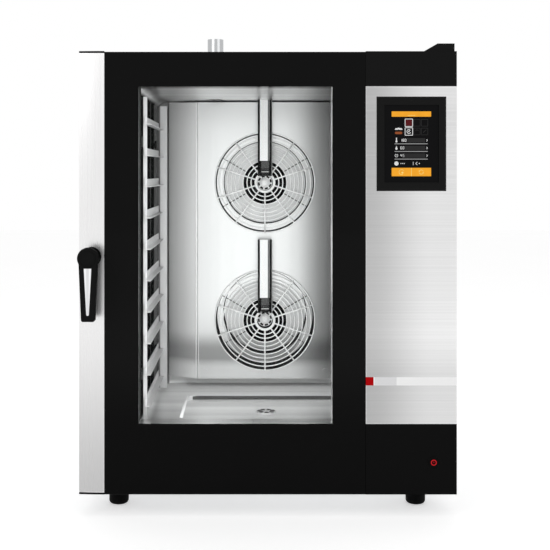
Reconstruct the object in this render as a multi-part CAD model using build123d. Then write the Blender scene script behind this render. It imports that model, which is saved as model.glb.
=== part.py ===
from build123d import *
import math
import os

# Combi steamer oven, millimetres. +X right, +Y back, +Z up.
# The origin is on the floor, under the middle of the whole oven, its handle and rear fittings included.
# Depths (d) count back from the door's front plane.

# ---- overall -------------------------------------------------------------------------------------
WIDTH = 930.0
DEPTH = 795.0            # door front to the rear panel
DOOR_BOTTOM = 54.0
DOOR_THICK = 58.0
HANDLE_REACH = 65.0      # handle in front of the door
REAR_REACH = 30.0        # fittings behind the rear panel
SEAL_GAP = 8.0           # door back to cabinet front
BODY_INSET = 8.0         # cabinet side behind the door's edge
BODY_RAISE = 6.0         # cabinet bottom above the door's lower edge
BODY_DROP = 3.5          # cabinet top below the door's upper edge
SHEET = 1.5
BASE_SHEET = 3.0
SLIDE_FIT = 0.3          # free space between pieces that move past each other
RUN_FIT = 0.05           # radial play of a shaft in its bore
SEAT_FIT = 0.02          # radial play of a fixed shaft in its bore

# ---- cooking cavity ------------------------------------------------------------------------------
CAVITY_SIDE = 135.0      # door's edge to the cavity's wall
CAVITY_RAISE = 135.0     # cavity floor above the cabinet's bottom
CAVITY_ROOF = 77.0       # cavity ceiling to the cabinet's top
CAVITY_REAR = 133.0      # cavity back to the rear panel
CAVITY_CORNER = 25.0
WOOL = 40.0
RECESS_WIDTH = 452.0
RECESS_SETBACK = 137.0   # behind the cabinet's front
RECESS_LENGTH = 270.0
RECESS_DROP = 10.0
RECESS_CORNER = 30.0
DRAIN_SETBACK = 109.0    # behind the recess's front edge
DRAIN_NECK = 18.0
STRAINER_RADIUS = 27.0
PIPE_BORE = 20.0
PIPE_WALL = 3.0
PIPE_SWELL = 0.5         # outlet's end wider than the pipe
PIPE_DROP = 75.0         # drain pipe's run below the recess
PIPE_BEND = 50.0
GASKET_INSET = 6.0       # gasket's inner edge outside the cavity's mouth
GASKET_WIDTH = 16.0

# ---- fans, baffle and injectors ------------------------------------------------------------------
FAN_RAISE = 204.0        # lower fan's middle above the cavity floor
FAN_SPACING = 416.0
FAN_DROP = 248.0         # upper fan's middle below the cavity ceiling
FAN_SPACE = 72.0         # baffle's front to the cavity's back
BAFFLE_SIDE = 35.0       # cavity wall to the baffle's edge
BAFFLE_WING = 90.0
BAFFLE_WING_BACK = 60.0
BAFFLE_FOOT = 27.0
BAFFLE_HEAD = 5.0
BAFFLE_MOUTH = 121.0
FIXING_INSET = 22.0
FIXING_RADIUS = 5.0
WHEEL_RADIUS = 150.0
WHEEL_EYE = 67.0
WHEEL_WIDTH = 56.0
WHEEL_GAP = 7.0          # baffle to wheel
WHEEL_SHEET = 2.0
BLADES = 6
SHAFT_RADIUS = 10.0
NUT_RADIUS = 18.0
MOTOR_RADIUS = 68.0
MOTOR_LENGTH = 76.0
MOTOR_PLATE = 5.0
MOTOR_LEG = 6.0
MOTOR_LEG_CIRCLE = 84.0
ELEMENT_RADIUS = 178.0
ELEMENT_TUBE = 4.5
ELEMENT_FRONT = 22.0     # front coil behind the baffle's face
ELEMENT_STEP = 28.0      # front coil to rear coil
ELEMENT_TAIL = 40.0
TAIL_RADIUS = 3.5
GUARD_RADIUS = 151.0
GUARD_EYE = 30.0
GUARD_RINGS = 11
GUARD_SPOKES = 10
GUARD_WIRE = 1.2
GUARD_STAND = 7.0
CHANNEL_WIDTH = 43.0
CHANNEL_FACE = 29.0
CHANNEL_BEVEL = 7.0
CHANNEL_DEPTH = 33.0
CHANNEL_GAP = 1.6        # channel's back to the fan guard
CHANNEL_MOUTH = 45.0
CHANNEL_RAISE = {"upper": 20.0, "lower": 27.0}     # lower end above the fan's middle
CHANNEL_BREAK = 170.0    # lower channel's top below the upper fan's middle
CLEAT_HEIGHT = 45.0
CLEAT_WIDTH = 24.0

# ---- tray racks ----------------------------------------------------------------------------------
PITCH = 80.0
LEVEL_START = 54.0       # lowest runner above the cavity floor
RACK_LIFT = 15.0
RACK_HEAD = 8.0          # free height above the lifted rack
POST = 10.0
POST_GAP = 17.0          # post's middle to the cavity wall
POST_FOOT = 20.0
RUNNER_SETBACK = 26.0    # runner's front end behind the cabinet's front
RUNNER_REAR = 90.0       # runner's back end ahead of the baffle
RUNNER_LEAD = 16.0       # runner's front end ahead of the front post
RUNNER_WEB = 20.0
RUNNER_FLANGE = 16.0
RUNNER_SHEET = 1.5
STOP_WIDTH = 17.0
STUD_RADIUS = 4.0
STUD_COLLAR = 7.0
STUD_INSET = 115.0       # studs from the ends of the posts
TAB_THICK = 5.0
TAB_SIZE = 26.0

# ---- exhaust -------------------------------------------------------------------------------------
EXHAUST_X = -148.0
EXHAUST_AHEAD = 40.0     # pipe's middle ahead of the baffle
EXHAUST_RADIUS = 23.5
EXHAUST_WALL = 1.5
EXHAUST_SWELL = 0.5      # spigot wider than the pipe below it
EXHAUST_RISE = 102.0
EXHAUST_FLANGE = 35.0
DAMPER_DROP = 19.0       # below the cabinet's top
DAMPER_SPINDLE = 3.0
DAMPER_GAP = 0.8

# ---- feet ----------------------------------------------------------------------------------------
FOOT_SIDE = 77.0         # in from the cabinet's sides
FOOT_SETBACK = 44.0      # behind the cabinet's front
FOOT_REAR = 50.0         # ahead of the rear panel
FOOT_RADIUS = 25.0
FOOT_WAIST = 21.0
FOOT_RIM = 6.0
FOOT_STUD = 5.0
FOOT_STUD_RISE = 32.0

# ---- door ----------------------------------------------------------------------------------------
STRIP_WIDTH = 62.3
CAP_HEIGHT = 5.0
CAP_PROUD = 1.9
FASCIA_WIDTH = 224.0
FASCIA_PROUD = 1.5       # fascia's top above the door's
GLASS = 4.0
ENAMEL = 0.5
GLASS_CORNER = 5.0
WINDOW_LEFT = 85.1       # strip to the clear window
WINDOW_RIGHT = 82.1      # clear window to the fascia
WINDOW_FOOT = 174.0
WINDOW_HEAD = 86.0
WINDOW_REVEAL = 10.0     # door frame's opening outside the clear window
INNER_GLASS = 5.0
INNER_LAP = 14.0
CLIP = 20.0
CLIP_LIP = 8.0
PANEL_FOOT = 174.0
PANEL_HEAD = 85.0
PANEL_THICK = 2.0
PANEL_PROUD = 0.8
SCREEN_DROP = 226.5      # screen's middle below the door's top
BEZEL_WIDTH = 171.2
BEZEL_HEIGHT = 232.5
BEZEL_PROUD = 4.0
BEZEL_BEVEL = 3.0
BEZEL_COLLAR = 5.5
SCREEN_WIDTH = 133.5
SCREEN_HEIGHT = 190.7
SCREEN_RECESS = 1.0
SCREEN_THICK = 4.0
BOARD_MARGIN = 10.0
BOARD_THICK = 13.0
STRIPE_RAISE = 94.6      # above the panel's lower edge
STRIPE_HEIGHT = 20.6
STRIPE_THICK = 0.3
BUTTON_SIDE = 57.0
BUTTON_RAISE = 79.0
BUTTON_RADIUS = 7.3
BUTTON_RIM = 15.0
BUTTON_COLLAR = 11.0
BUTTON_PROUD = 1.9
BUTTON_TRAVEL = 1.5
BUTTON_BACK = 14.0

# ---- hinge ---------------------------------------------------------------------------------------
HINGE_SIDE = 15.0
HINGE_DEPTH = 30.0
PIN_RADIUS = 6.0
PIN_REACH = 30.0
PIN_HEAD_THICK = 3.5
BUSH_RADIUS = 10.0
BRACKET_HALF = 9.5
BRACKET_THICK = 5.0
BRACKET_LENGTH = 54.0    # lower bracket under the cabinet
NOTCH_HALF = 22.0
NOTCH_CLEAR = 6.0        # notch's top above the cabinet's bottom
NOTCH_FRONT = 8.0
COVER_LENGTH = 76.0
COVER_SLOPE = 34.0
COVER_GAP = 1.0          # fascia's top to the cover
COVER_HEIGHT = 19.5
COVER_FRONT = 12.0
COVER_LAP = 38.0         # cover's back behind the cabinet's front
COVER_WALL = 2.0

# ---- handle and latch ----------------------------------------------------------------------------
HANDLE_RAISE = 585.4     # handle's axis above the door's lower edge
HUB_RADIUS = 22.8
LEVER_LENGTH = 152.5
LEVER_TOP_WIDTH = 46.0
LEVER_END_WIDTH = 32.7
LEVER_THICK = 24.0
LEVER_EDGE = 5.0
LEVER_ROUND = 4.0
NECK_RADIUS = 16.0
ROSETTE_RADIUS = 24.0
ROSETTE_PROUD = 6.0
INLAY_START = 24.0
INLAY_END = 134.0
INLAY_TOP_WIDTH = 18.0
INLAY_END_WIDTH = 6.3
INLAY_THICK = 1.0
INLAY_SUNK = 0.7
SPINDLE_RADIUS = 8.0
SPINDLE_FRONT = 30.0     # spindle's front end, ahead of the door
TONGUE_RADIUS = 11.0
TONGUE_LENGTH = 30.0
TONGUE_WIDTH = 14.0
TONGUE_THICK = 6.0
TONGUE_BEHIND = 8.0      # tongue's front face behind the cabinet's front
KEEPER_THICK = 3.0
KEEPER_MARGIN = 20.0
SLOT_PLAY = 2.0

# ---- rear fittings and electrics -----------------------------------------------------------------
FITTING_RAISE = 90.0     # above the cabinet's bottom
INLET_SIDE = 207.0       # in from the cabinet's side
INLET_RADIUS = 13.2
INLET_BORE = 9.5
INLET_HEX = 17.0
INLET_HEX_LENGTH = 10.0
INLET_GROOVE = 2.0       # plain neck between the hexagon and the thread
INLET_NECK = 0.5         # neck's step below the thread
GLAND_SIDE = 127.0
GLAND_RADIUS = 17.0
GLAND_BORE = 9.0
GLAND_NUT = 15.0
FITTING_INSIDE = 16.0
POWER_BOARD_Z = (420.0, 760.0)
POWER_BOARD_DEPTH = (420.0, 640.0)
POWER_BOARD_OFF = 12.0
POWER_BOARD_SHEET = 1.6
LOUVRES = 9
LOUVRE_PITCH = 16.0
LOUVRE_LENGTH = 150.0
LOUVRE_HEIGHT = 5.0
LOUVRE_RAISE = 270.0     # above the cabinet's bottom
LOUVRE_SIDE = 207.0      # rear louvres' middle, in from the cabinet's side
LOUVRE_REAR = 235.0      # side louvres' middle, ahead of the rear panel

# ---- worked out from the above -------------------------------------------------------------------
FRONT_Y = HANDLE_REACH - (HANDLE_REACH + DEPTH + REAR_REACH) / 2
HALF = WIDTH / 2
BODY_HALF = HALF - BODY_INSET
BODY_FRONT = DOOR_THICK + SEAL_GAP
BODY_BOTTOM = DOOR_BOTTOM + BODY_RAISE
CAVITY_HALF = HALF - CAVITY_SIDE
CAVITY_BACK = DEPTH - CAVITY_REAR
CAVITY_FLOOR = BODY_BOTTOM + CAVITY_RAISE
LOWER_FAN = CAVITY_FLOOR + FAN_RAISE
UPPER_FAN = LOWER_FAN + FAN_SPACING
FAN_HEIGHTS = {"upper": UPPER_FAN, "lower": LOWER_FAN}
CAVITY_TOP = UPPER_FAN + FAN_DROP
BODY_TOP = CAVITY_TOP + CAVITY_ROOF
DOOR_TOP = BODY_TOP + BODY_DROP

RECESS_FRONT = BODY_FRONT + RECESS_SETBACK
RECESS_BOTTOM = CAVITY_FLOOR - RECESS_DROP
DRAIN_DEPTH = RECESS_FRONT + DRAIN_SETBACK
DRAIN_RUN_Z = RECESS_BOTTOM - SHEET - PIPE_DROP
PIPE_OUTER = PIPE_BORE + PIPE_WALL
PIPE_OUTLET = PIPE_OUTER + PIPE_SWELL

BAFFLE_DEPTH = CAVITY_BACK - FAN_SPACE
BAFFLE_EDGE = CAVITY_HALF - BAFFLE_SIDE
BAFFLE_HALF = BAFFLE_EDGE - BAFFLE_WING
BAFFLE_BOTTOM = CAVITY_FLOOR + BAFFLE_FOOT
BAFFLE_TOP = CAVITY_TOP - BAFFLE_HEAD
WHEEL_FRONT = BAFFLE_DEPTH + SHEET + WHEEL_GAP
MOTOR_FRONT = CAVITY_BACK + SHEET + WOOL
GUARD_DEPTH = BAFFLE_DEPTH - GUARD_STAND
SPOKE_DEPTH = GUARD_DEPTH - 1.8 * GUARD_WIRE
CHANNEL_BACK = SPOKE_DEPTH - GUARD_WIRE - CHANNEL_GAP
CHANNEL_SPANS = {
    "upper": (UPPER_FAN + CHANNEL_RAISE["upper"], CAVITY_TOP),
    "lower": (LOWER_FAN + CHANNEL_RAISE["lower"], UPPER_FAN - CHANNEL_BREAK),
}

POST_OUT = CAVITY_HALF - POST_GAP
POST_BOTTOM = CAVITY_FLOOR + POST_FOOT
POST_TOP = CAVITY_TOP - RACK_LIFT - RACK_HEAD
RUNNER_FRONT = BODY_FRONT + RUNNER_SETBACK
RUNNER_BACK = BAFFLE_DEPTH - RUNNER_REAR
FRONT_POST = RUNNER_FRONT + RUNNER_LEAD
REAR_POST = RUNNER_BACK - POST / 2
FIRST_LEVEL = CAVITY_FLOOR + LEVEL_START
LEVELS = int((POST_TOP - FIRST_LEVEL - RUNNER_WEB) // PITCH) + 1
STUD_HEIGHTS = (POST_BOTTOM + STUD_INSET, POST_TOP - STUD_INSET)

EXHAUST_DEPTH = BAFFLE_DEPTH - EXHAUST_AHEAD
EXHAUST_TOP = BODY_TOP + EXHAUST_RISE
DAMPER_HEIGHT = BODY_TOP - DAMPER_DROP

FOOT_X = BODY_HALF - FOOT_SIDE
FOOT_FRONT_DEPTH = BODY_FRONT + FOOT_SETBACK
FOOT_REAR_DEPTH = DEPTH - FOOT_REAR
FOOT_STUD_TOP = BODY_BOTTOM + FOOT_STUD_RISE
FOOT_PLACES = {
    "front_left": (-FOOT_X, FOOT_FRONT_DEPTH),
    "front_right": (FOOT_X, FOOT_FRONT_DEPTH),
    "rear_left": (-FOOT_X, FOOT_REAR_DEPTH),
    "rear_right": (FOOT_X, FOOT_REAR_DEPTH),
}

FRAME_HALF = HALF - SHEET
FRAME_BOTTOM = DOOR_BOTTOM + SHEET
FRAME_TOP = DOOR_TOP - SHEET
FRAME_FRONT = GLASS + ENAMEL
STRIP_RIGHT = -HALF + STRIP_WIDTH
STRIP_BOW = FRAME_FRONT - SHEET
FASCIA_LEFT = HALF - FASCIA_WIDTH
FASCIA_TOP = DOOR_TOP + FASCIA_PROUD
WINDOW_X = (STRIP_RIGHT + WINDOW_LEFT, FASCIA_LEFT - WINDOW_RIGHT)
WINDOW_Z = (DOOR_BOTTOM + WINDOW_FOOT, DOOR_TOP - WINDOW_HEAD)
OPEN_X = (WINDOW_X[0] - WINDOW_REVEAL, WINDOW_X[1] + WINDOW_REVEAL)
OPEN_Z = (WINDOW_Z[0] - WINDOW_REVEAL, WINDOW_Z[1] + WINDOW_REVEAL)
PANEL_Z = (DOOR_BOTTOM + PANEL_FOOT, DOOR_TOP - PANEL_HEAD)
STRIPE_Z = (PANEL_Z[0] + STRIPE_RAISE, PANEL_Z[0] + STRIPE_RAISE + STRIPE_HEIGHT)
SCREEN_X = (FASCIA_LEFT + HALF) / 2
SCREEN_Z = DOOR_TOP - SCREEN_DROP
BUTTON = (HALF - BUTTON_SIDE, DOOR_BOTTOM + BUTTON_RAISE)
HANDLE_X = (STRIP_RIGHT - HALF) / 2
HANDLE_Z = DOOR_BOTTOM + HANDLE_RAISE
HANDLE = (HANDLE_X, HANDLE_Z)

HINGE_X = HALF - HINGE_SIDE
NOTCH_TOP = BODY_BOTTOM + NOTCH_CLEAR
BRACKET_BACK = BODY_FRONT + BRACKET_LENGTH
COVER_RIGHT = HINGE_X + BRACKET_HALF + COVER_WALL + SLIDE_FIT
COVER_LEFT = COVER_RIGHT - COVER_LENGTH
COVER_BOTTOM = FASCIA_TOP + COVER_GAP
COVER_TOP = COVER_BOTTOM + COVER_HEIGHT
COVER_BACK = BODY_FRONT + COVER_LAP

FITTING_Z = BODY_BOTTOM + FITTING_RAISE
INLET_X = BODY_HALF - INLET_SIDE
GLAND_X = BODY_HALF - GLAND_SIDE
LOUVRE_X = BODY_HALF - LOUVRE_SIDE
LOUVRE_START = BODY_BOTTOM + LOUVRE_RAISE
LOUVRE_DEPTH = DEPTH - LOUVRE_REAR


# ---- helpers -------------------------------------------------------------------------------------
def middle(span):
    return (span[0] + span[1]) / 2


def spread(span, by):
    """A (low, high) span made longer by the same amount at both ends."""
    return (span[0] - by, span[1] + by)


def around(centre, half):
    return (centre - half, centre + half)


def block(x, d, z):
    """Box from three (low, high) spans."""
    centre = Pos(middle(x), FRONT_Y + middle(d), middle(z))
    return centre * Box(x[1] - x[0], d[1] - d[0], z[1] - z[0])


def slab(x, d, z, corner):
    """Box whose four edges along the depth are rounded."""
    face = RectangleRounded(x[1] - x[0], z[1] - z[0], corner)
    return Pos(middle(x), FRONT_Y + d[1], middle(z)) * Rot(90, 0, 0) * extrude(face, d[1] - d[0])


def rod(radius, centre, d):
    """Cylinder along the depth; centre is (x, z)."""
    place = Pos(centre[0], FRONT_Y + middle(d), centre[1]) * Rot(90, 0, 0)
    return place * Cylinder(radius, d[1] - d[0])


def upright(radius, x, depth, z):
    """Cylinder along Z."""
    return Pos(x, FRONT_Y + depth, middle(z)) * Cylinder(radius, z[1] - z[0])


def crossbar(radius, x, depth, height):
    """Cylinder along X."""
    return Pos(middle(x), FRONT_Y + depth, height) * Rot(0, 90, 0) * Cylinder(radius, x[1] - x[0])


def ring(radius, wire, centre, depth):
    """Round wire bent into a circle that faces the front."""
    section = Plane.XZ * Pos(radius, 0) * Circle(wire)
    return Pos(centre[0], FRONT_Y + depth, centre[1]) * Rot(90, 0, 0) * revolve(section, Axis.Z)


def outline_xz(points, d):
    """Plate with a straight-sided (x, z) outline."""
    face = make_face(Polyline(*points, close=True))
    return Pos(0, FRONT_Y + d[1], 0) * Rot(90, 0, 0) * extrude(face, d[1] - d[0])


def column(points, z):
    """Upright bar with a straight-sided (x, depth) outline."""
    face = make_face(Polyline(*[(x, FRONT_Y + d) for x, d in points], close=True))
    return Pos(0, 0, z[0]) * extrude(face, z[1] - z[0])


def on_circle(centre, radius, count, start=0.0):
    """Places spread evenly on a circle in the X-Z plane."""
    turns = [math.radians(start + 360.0 * i / count) for i in range(count)]
    return [(centre[0] + radius * math.cos(t), centre[1] + radius * math.sin(t)) for t in turns]


def save(name, shape):
    """Write one node; a list of separate solids becomes one group."""
    solids = Compound(children=list(shape)) if isinstance(shape, list) else shape
    export_step(solids, os.path.join("parts", name + ".step"))


# ---- cabinet -------------------------------------------------------------------------------------
def base_chassis():
    plate = block((-BODY_HALF, BODY_HALF), (BODY_FRONT, DEPTH), (BODY_BOTTOM, BODY_BOTTOM + BASE_SHEET))
    rail_top = FOOT_STUD_TOP + BASE_SHEET
    for x, depth in FOOT_PLACES.values():
        plate += upright(FOOT_RADIUS, x, depth, (BODY_BOTTOM + BASE_SHEET, rail_top))
    for x, depth in FOOT_PLACES.values():
        plate -= upright(FOOT_STUD + RUN_FIT, x, depth, (BODY_BOTTOM, rail_top + SHEET))
    return plate


def side_panel(side):
    outer = side * BODY_HALF
    inner = side * (BODY_HALF - SHEET)
    x = (min(outer, inner), max(outer, inner))
    panel = block(x, (BODY_FRONT, DEPTH), (BODY_BOTTOM + BASE_SHEET, BODY_TOP - SHEET))
    depth = around(LOUVRE_DEPTH, LOUVRE_LENGTH / 2)
    for i in range(LOUVRES):
        z = LOUVRE_START + i * LOUVRE_PITCH
        panel -= block(spread(x, SHEET), depth, (z, z + LOUVRE_HEIGHT))
    return panel


def top_cover():
    x = (-BODY_HALF, BODY_HALF)
    cover = block(x, (BODY_FRONT, DEPTH), (BODY_TOP - SHEET, BODY_TOP))
    hole = EXHAUST_RADIUS + SLIDE_FIT
    return cover - upright(hole, EXHAUST_X, EXHAUST_DEPTH, (BODY_TOP - 2 * SHEET, BODY_TOP + SHEET))


def rear_panel():
    inside = BODY_HALF - SHEET
    d = (DEPTH - SHEET, DEPTH)
    panel = block((-inside, inside), d, (BODY_BOTTOM + BASE_SHEET, BODY_TOP - SHEET))
    through = spread(d, SHEET)
    panel -= rod(PIPE_OUTLET + SLIDE_FIT, (0, DRAIN_RUN_Z), through)
    panel -= rod(INLET_RADIUS - INLET_NECK + SEAT_FIT, (INLET_X, FITTING_Z), through)
    panel -= rod(GLAND_NUT + SEAT_FIT, (GLAND_X, FITTING_Z), through)
    for x in (-LOUVRE_X, LOUVRE_X):
        for i in range(LOUVRES):
            z = LOUVRE_START + i * LOUVRE_PITCH
            panel -= block(around(x, LOUVRE_LENGTH / 2), through, (z, z + LOUVRE_HEIGHT))
    return panel


def cavity_mouth(d, grow=0.0):
    x = around(0, CAVITY_HALF + grow)
    return slab(x, d, spread((CAVITY_FLOOR, CAVITY_TOP), grow), CAVITY_CORNER + grow)


def latch_slot(d, play):
    """Upright slot, round at the spindle, that the latch tongue passes when the lever hangs down."""
    half = TONGUE_WIDTH / 2 + play
    z = (HANDLE_Z - TONGUE_LENGTH - play, HANDLE_Z)
    return block(around(HANDLE_X, half), d, z) + rod(TONGUE_RADIUS + play, HANDLE, d)


def front_frame():
    inside = BODY_HALF - SHEET
    d = (BODY_FRONT, BODY_FRONT + SHEET)
    frame = block((-inside, inside), d, (BODY_BOTTOM + BASE_SHEET, BODY_TOP - SHEET))
    through = spread(d, SHEET)
    return frame - cavity_mouth(through) - latch_slot(through, 2 * SLOT_PLAY)


def recess(grow, drop):
    x = around(0, RECESS_WIDTH / 2 + grow)
    length = (RECESS_FRONT - grow, RECESS_FRONT + RECESS_LENGTH + grow)
    face = RectangleRounded(x[1] - x[0], length[1] - length[0], RECESS_CORNER + grow)
    body = extrude(face, CAVITY_FLOOR + drop - (RECESS_BOTTOM - grow))
    return Pos(0, FRONT_Y + middle(length), RECESS_BOTTOM - grow) * body


def element_tails(fan_z, radius, d):
    reach = math.sqrt(ELEMENT_RADIUS ** 2 - (ELEMENT_TAIL / 2) ** 2)
    return [rod(radius, (reach, fan_z + side * ELEMENT_TAIL / 2), d) for side in (-1, 1)]


def cavity_liner():
    front = BODY_FRONT + SHEET
    liner = cavity_mouth((front, CAVITY_BACK + SHEET), SHEET) - cavity_mouth((front - SHEET, CAVITY_BACK))
    liner += recess(SHEET, 0) - cavity_mouth((front, CAVITY_BACK))
    liner -= recess(0, SHEET)
    liner -= upright(DRAIN_NECK + SLIDE_FIT, 0, DRAIN_DEPTH, (RECESS_BOTTOM - 2 * SHEET, RECESS_BOTTOM))
    vent = EXHAUST_RADIUS - EXHAUST_WALL
    liner -= upright(vent, EXHAUST_X, EXHAUST_DEPTH, (CAVITY_TOP - SHEET, CAVITY_TOP + 2 * SHEET))
    wall = spread((CAVITY_BACK, CAVITY_BACK + SHEET), SHEET)
    for z in FAN_HEIGHTS.values():
        liner -= rod(SHAFT_RADIUS + SHEET, (0, z), wall)
        for hole in element_tails(z, TAIL_RADIUS + SLIDE_FIT, wall):
            liner -= hole
    return liner


def cavity_insulation():
    back = CAVITY_BACK + SHEET
    d = (BODY_FRONT + SHEET, back + WOOL)
    wool = cavity_mouth(d, SHEET + WOOL) - cavity_mouth((d[0] - SHEET, back), SHEET + SLIDE_FIT)
    wool -= recess(SHEET + SLIDE_FIT, 0)
    below = (CAVITY_FLOOR - 2 * WOOL, CAVITY_FLOOR)
    wool -= upright(EXHAUST_FLANGE + SLIDE_FIT, 0, DRAIN_DEPTH, below)
    above = (CAVITY_TOP, CAVITY_TOP + 2 * WOOL)
    wool -= upright(EXHAUST_FLANGE + SLIDE_FIT, EXHAUST_X, EXHAUST_DEPTH, above)
    wall = (back - SHEET, back + 2 * WOOL)
    for z in FAN_HEIGHTS.values():
        wool -= rod(SHAFT_RADIUS + 2 * SHEET, (0, z), wall)
        for leg in on_circle((0, z), MOTOR_LEG_CIRCLE, 4, 45):
            wool -= rod(MOTOR_LEG + SLIDE_FIT, leg, wall)
        for hole in element_tails(z, TAIL_RADIUS + SLIDE_FIT, wall):
            wool -= hole
    return wool


def door_gasket():
    d = (DOOR_THICK + SLIDE_FIT, BODY_FRONT)
    outer = cavity_mouth(d, GASKET_INSET + GASKET_WIDTH)
    return outer - cavity_mouth(spread(d, SHEET), GASKET_INSET)


def drain_strainer():
    plate = upright(STRAINER_RADIUS, 0, DRAIN_DEPTH, (RECESS_BOTTOM, RECESS_BOTTOM + 2 * SHEET))
    plate += upright(DRAIN_NECK, 0, DRAIN_DEPTH, (RECESS_BOTTOM - RECESS_DROP, RECESS_BOTTOM))
    z = (RECESS_BOTTOM - 2 * RECESS_DROP, RECESS_BOTTOM + RECESS_DROP)
    plate -= upright(SHEET, 0, DRAIN_DEPTH, z)
    for x, offset in on_circle((0, 0), DRAIN_NECK * 0.6, 6):
        plate -= upright(DRAIN_NECK * 0.2, x, DRAIN_DEPTH + offset, z)
    return plate


def drain_pipe():
    top = RECESS_BOTTOM - SHEET
    start = (0, FRONT_Y + DRAIN_DEPTH, top)
    corner = (0, FRONT_Y + DRAIN_DEPTH, DRAIN_RUN_Z)
    end = (0, FRONT_Y + DEPTH + REAR_REACH, DRAIN_RUN_Z)
    path = FilletPolyline(start, corner, end, radius=PIPE_BEND)
    section = Plane(origin=start, z_dir=(0, 0, -1))
    outer = sweep(section * Circle(PIPE_OUTER), path)
    inner = sweep(section * Circle(PIPE_BORE), path)
    outlet_end = (DEPTH + PIPE_WALL, DEPTH + REAR_REACH)
    outer += rod(PIPE_OUTLET, (0, DRAIN_RUN_Z), outlet_end)
    flange = upright(EXHAUST_FLANGE, 0, DRAIN_DEPTH, (top - PIPE_WALL, top))
    flange -= upright(PIPE_BORE, 0, DRAIN_DEPTH, (top - 2 * PIPE_WALL, top + SHEET))
    return (outer - inner) + flange


# ---- fans, baffle, heating -----------------------------------------------------------------------
def fixing_places():
    x = BAFFLE_HALF - FIXING_INSET
    heights = (BAFFLE_BOTTOM + FIXING_INSET, BAFFLE_TOP - FIXING_INSET)
    return [(side * x, z) for side in (-1, 1) for z in heights]


def fan_baffle():
    front = BAFFLE_DEPTH
    back = front + BAFFLE_WING_BACK
    skin = [(-BAFFLE_EDGE, back), (-BAFFLE_HALF, front), (BAFFLE_HALF, front), (BAFFLE_EDGE, back)]
    rear = [(x, d + SHEET) for x, d in reversed(skin)]
    baffle = column(skin + rear, (BAFFLE_BOTTOM, BAFFLE_TOP))
    through = (front - SHEET, front + 2 * SHEET)
    for z in FAN_HEIGHTS.values():
        baffle -= rod(BAFFLE_MOUTH, (0, z), through)
    for place in fixing_places():
        baffle -= rod(FIXING_RADIUS + SEAT_FIT, place, through)
    return baffle


def baffle_fixings():
    found = []
    for place in fixing_places():
        stud = rod(FIXING_RADIUS, place, (BAFFLE_DEPTH, CAVITY_BACK))
        head = rod(2 * FIXING_RADIUS, place, (BAFFLE_DEPTH - FIXING_RADIUS, BAFFLE_DEPTH))
        found.append(stud + head)
    return found


def fan_wheel(fan_z):
    centre = (0, fan_z)
    back = WHEEL_FRONT + WHEEL_WIDTH
    wheel = rod(WHEEL_RADIUS, centre, (back - WHEEL_SHEET, back))
    face = (WHEEL_FRONT, WHEEL_FRONT + WHEEL_SHEET)
    wheel += rod(WHEEL_RADIUS, centre, face) - rod(WHEEL_EYE, centre, spread(face, WHEEL_SHEET))
    middle_radius = (WHEEL_RADIUS + WHEEL_EYE) / 2
    length = WHEEL_RADIUS - WHEEL_EYE - WHEEL_SHEET
    for i in range(BLADES):
        place = Pos(0, FRONT_Y + WHEEL_FRONT + WHEEL_WIDTH / 2, fan_z) * Rot(0, 30 + 360 * i / BLADES, 0)
        wheel += place * Pos(middle_radius, 0, 0) * Box(length, WHEEL_WIDTH, WHEEL_SHEET)
    wheel += rod(2 * SHAFT_RADIUS, centre, (back - WHEEL_WIDTH / 2, back))
    return wheel - rod(SHAFT_RADIUS + SEAT_FIT, centre, (WHEEL_FRONT, back + SHEET))


def fan_shaft(fan_z):
    centre = (0, fan_z)
    hub_front = WHEEL_FRONT + WHEEL_WIDTH / 2
    shaft = rod(SHAFT_RADIUS, centre, (hub_front, MOTOR_FRONT + MOTOR_LENGTH / 2))
    return shaft + rod(NUT_RADIUS, centre, (hub_front - SHAFT_RADIUS, hub_front))


def fan_motor(fan_z):
    centre = (0, fan_z)
    legs = on_circle(centre, MOTOR_LEG_CIRCLE, 4, 45)
    plate_half = MOTOR_LEG_CIRCLE / math.sqrt(2) + 2 * MOTOR_LEG
    plate = (MOTOR_FRONT, MOTOR_FRONT + MOTOR_PLATE)
    motor = slab(around(0, plate_half), plate, around(fan_z, plate_half), 2 * MOTOR_LEG)
    motor += rod(MOTOR_RADIUS, centre, (MOTOR_FRONT, MOTOR_FRONT + MOTOR_LENGTH))
    for leg in legs:
        motor += rod(MOTOR_LEG, leg, (CAVITY_BACK + SHEET, MOTOR_FRONT))
    bore = (MOTOR_FRONT - SHEET, MOTOR_FRONT + MOTOR_LENGTH / 2 + SHEET)
    return motor - rod(SHAFT_RADIUS + RUN_FIT, centre, bore)


def heating_element(fan_z):
    front = BAFFLE_DEPTH + ELEMENT_FRONT
    back = front + ELEMENT_STEP
    coil = ring(ELEMENT_RADIUS, ELEMENT_TUBE, (0, fan_z), front)
    rest = [ring(ELEMENT_RADIUS, ELEMENT_TUBE, (0, fan_z), back)]
    rest += element_tails(fan_z, TAIL_RADIUS, (front - TAIL_RADIUS / 2, MOTOR_FRONT))
    return coil.fuse(*rest)


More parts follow.
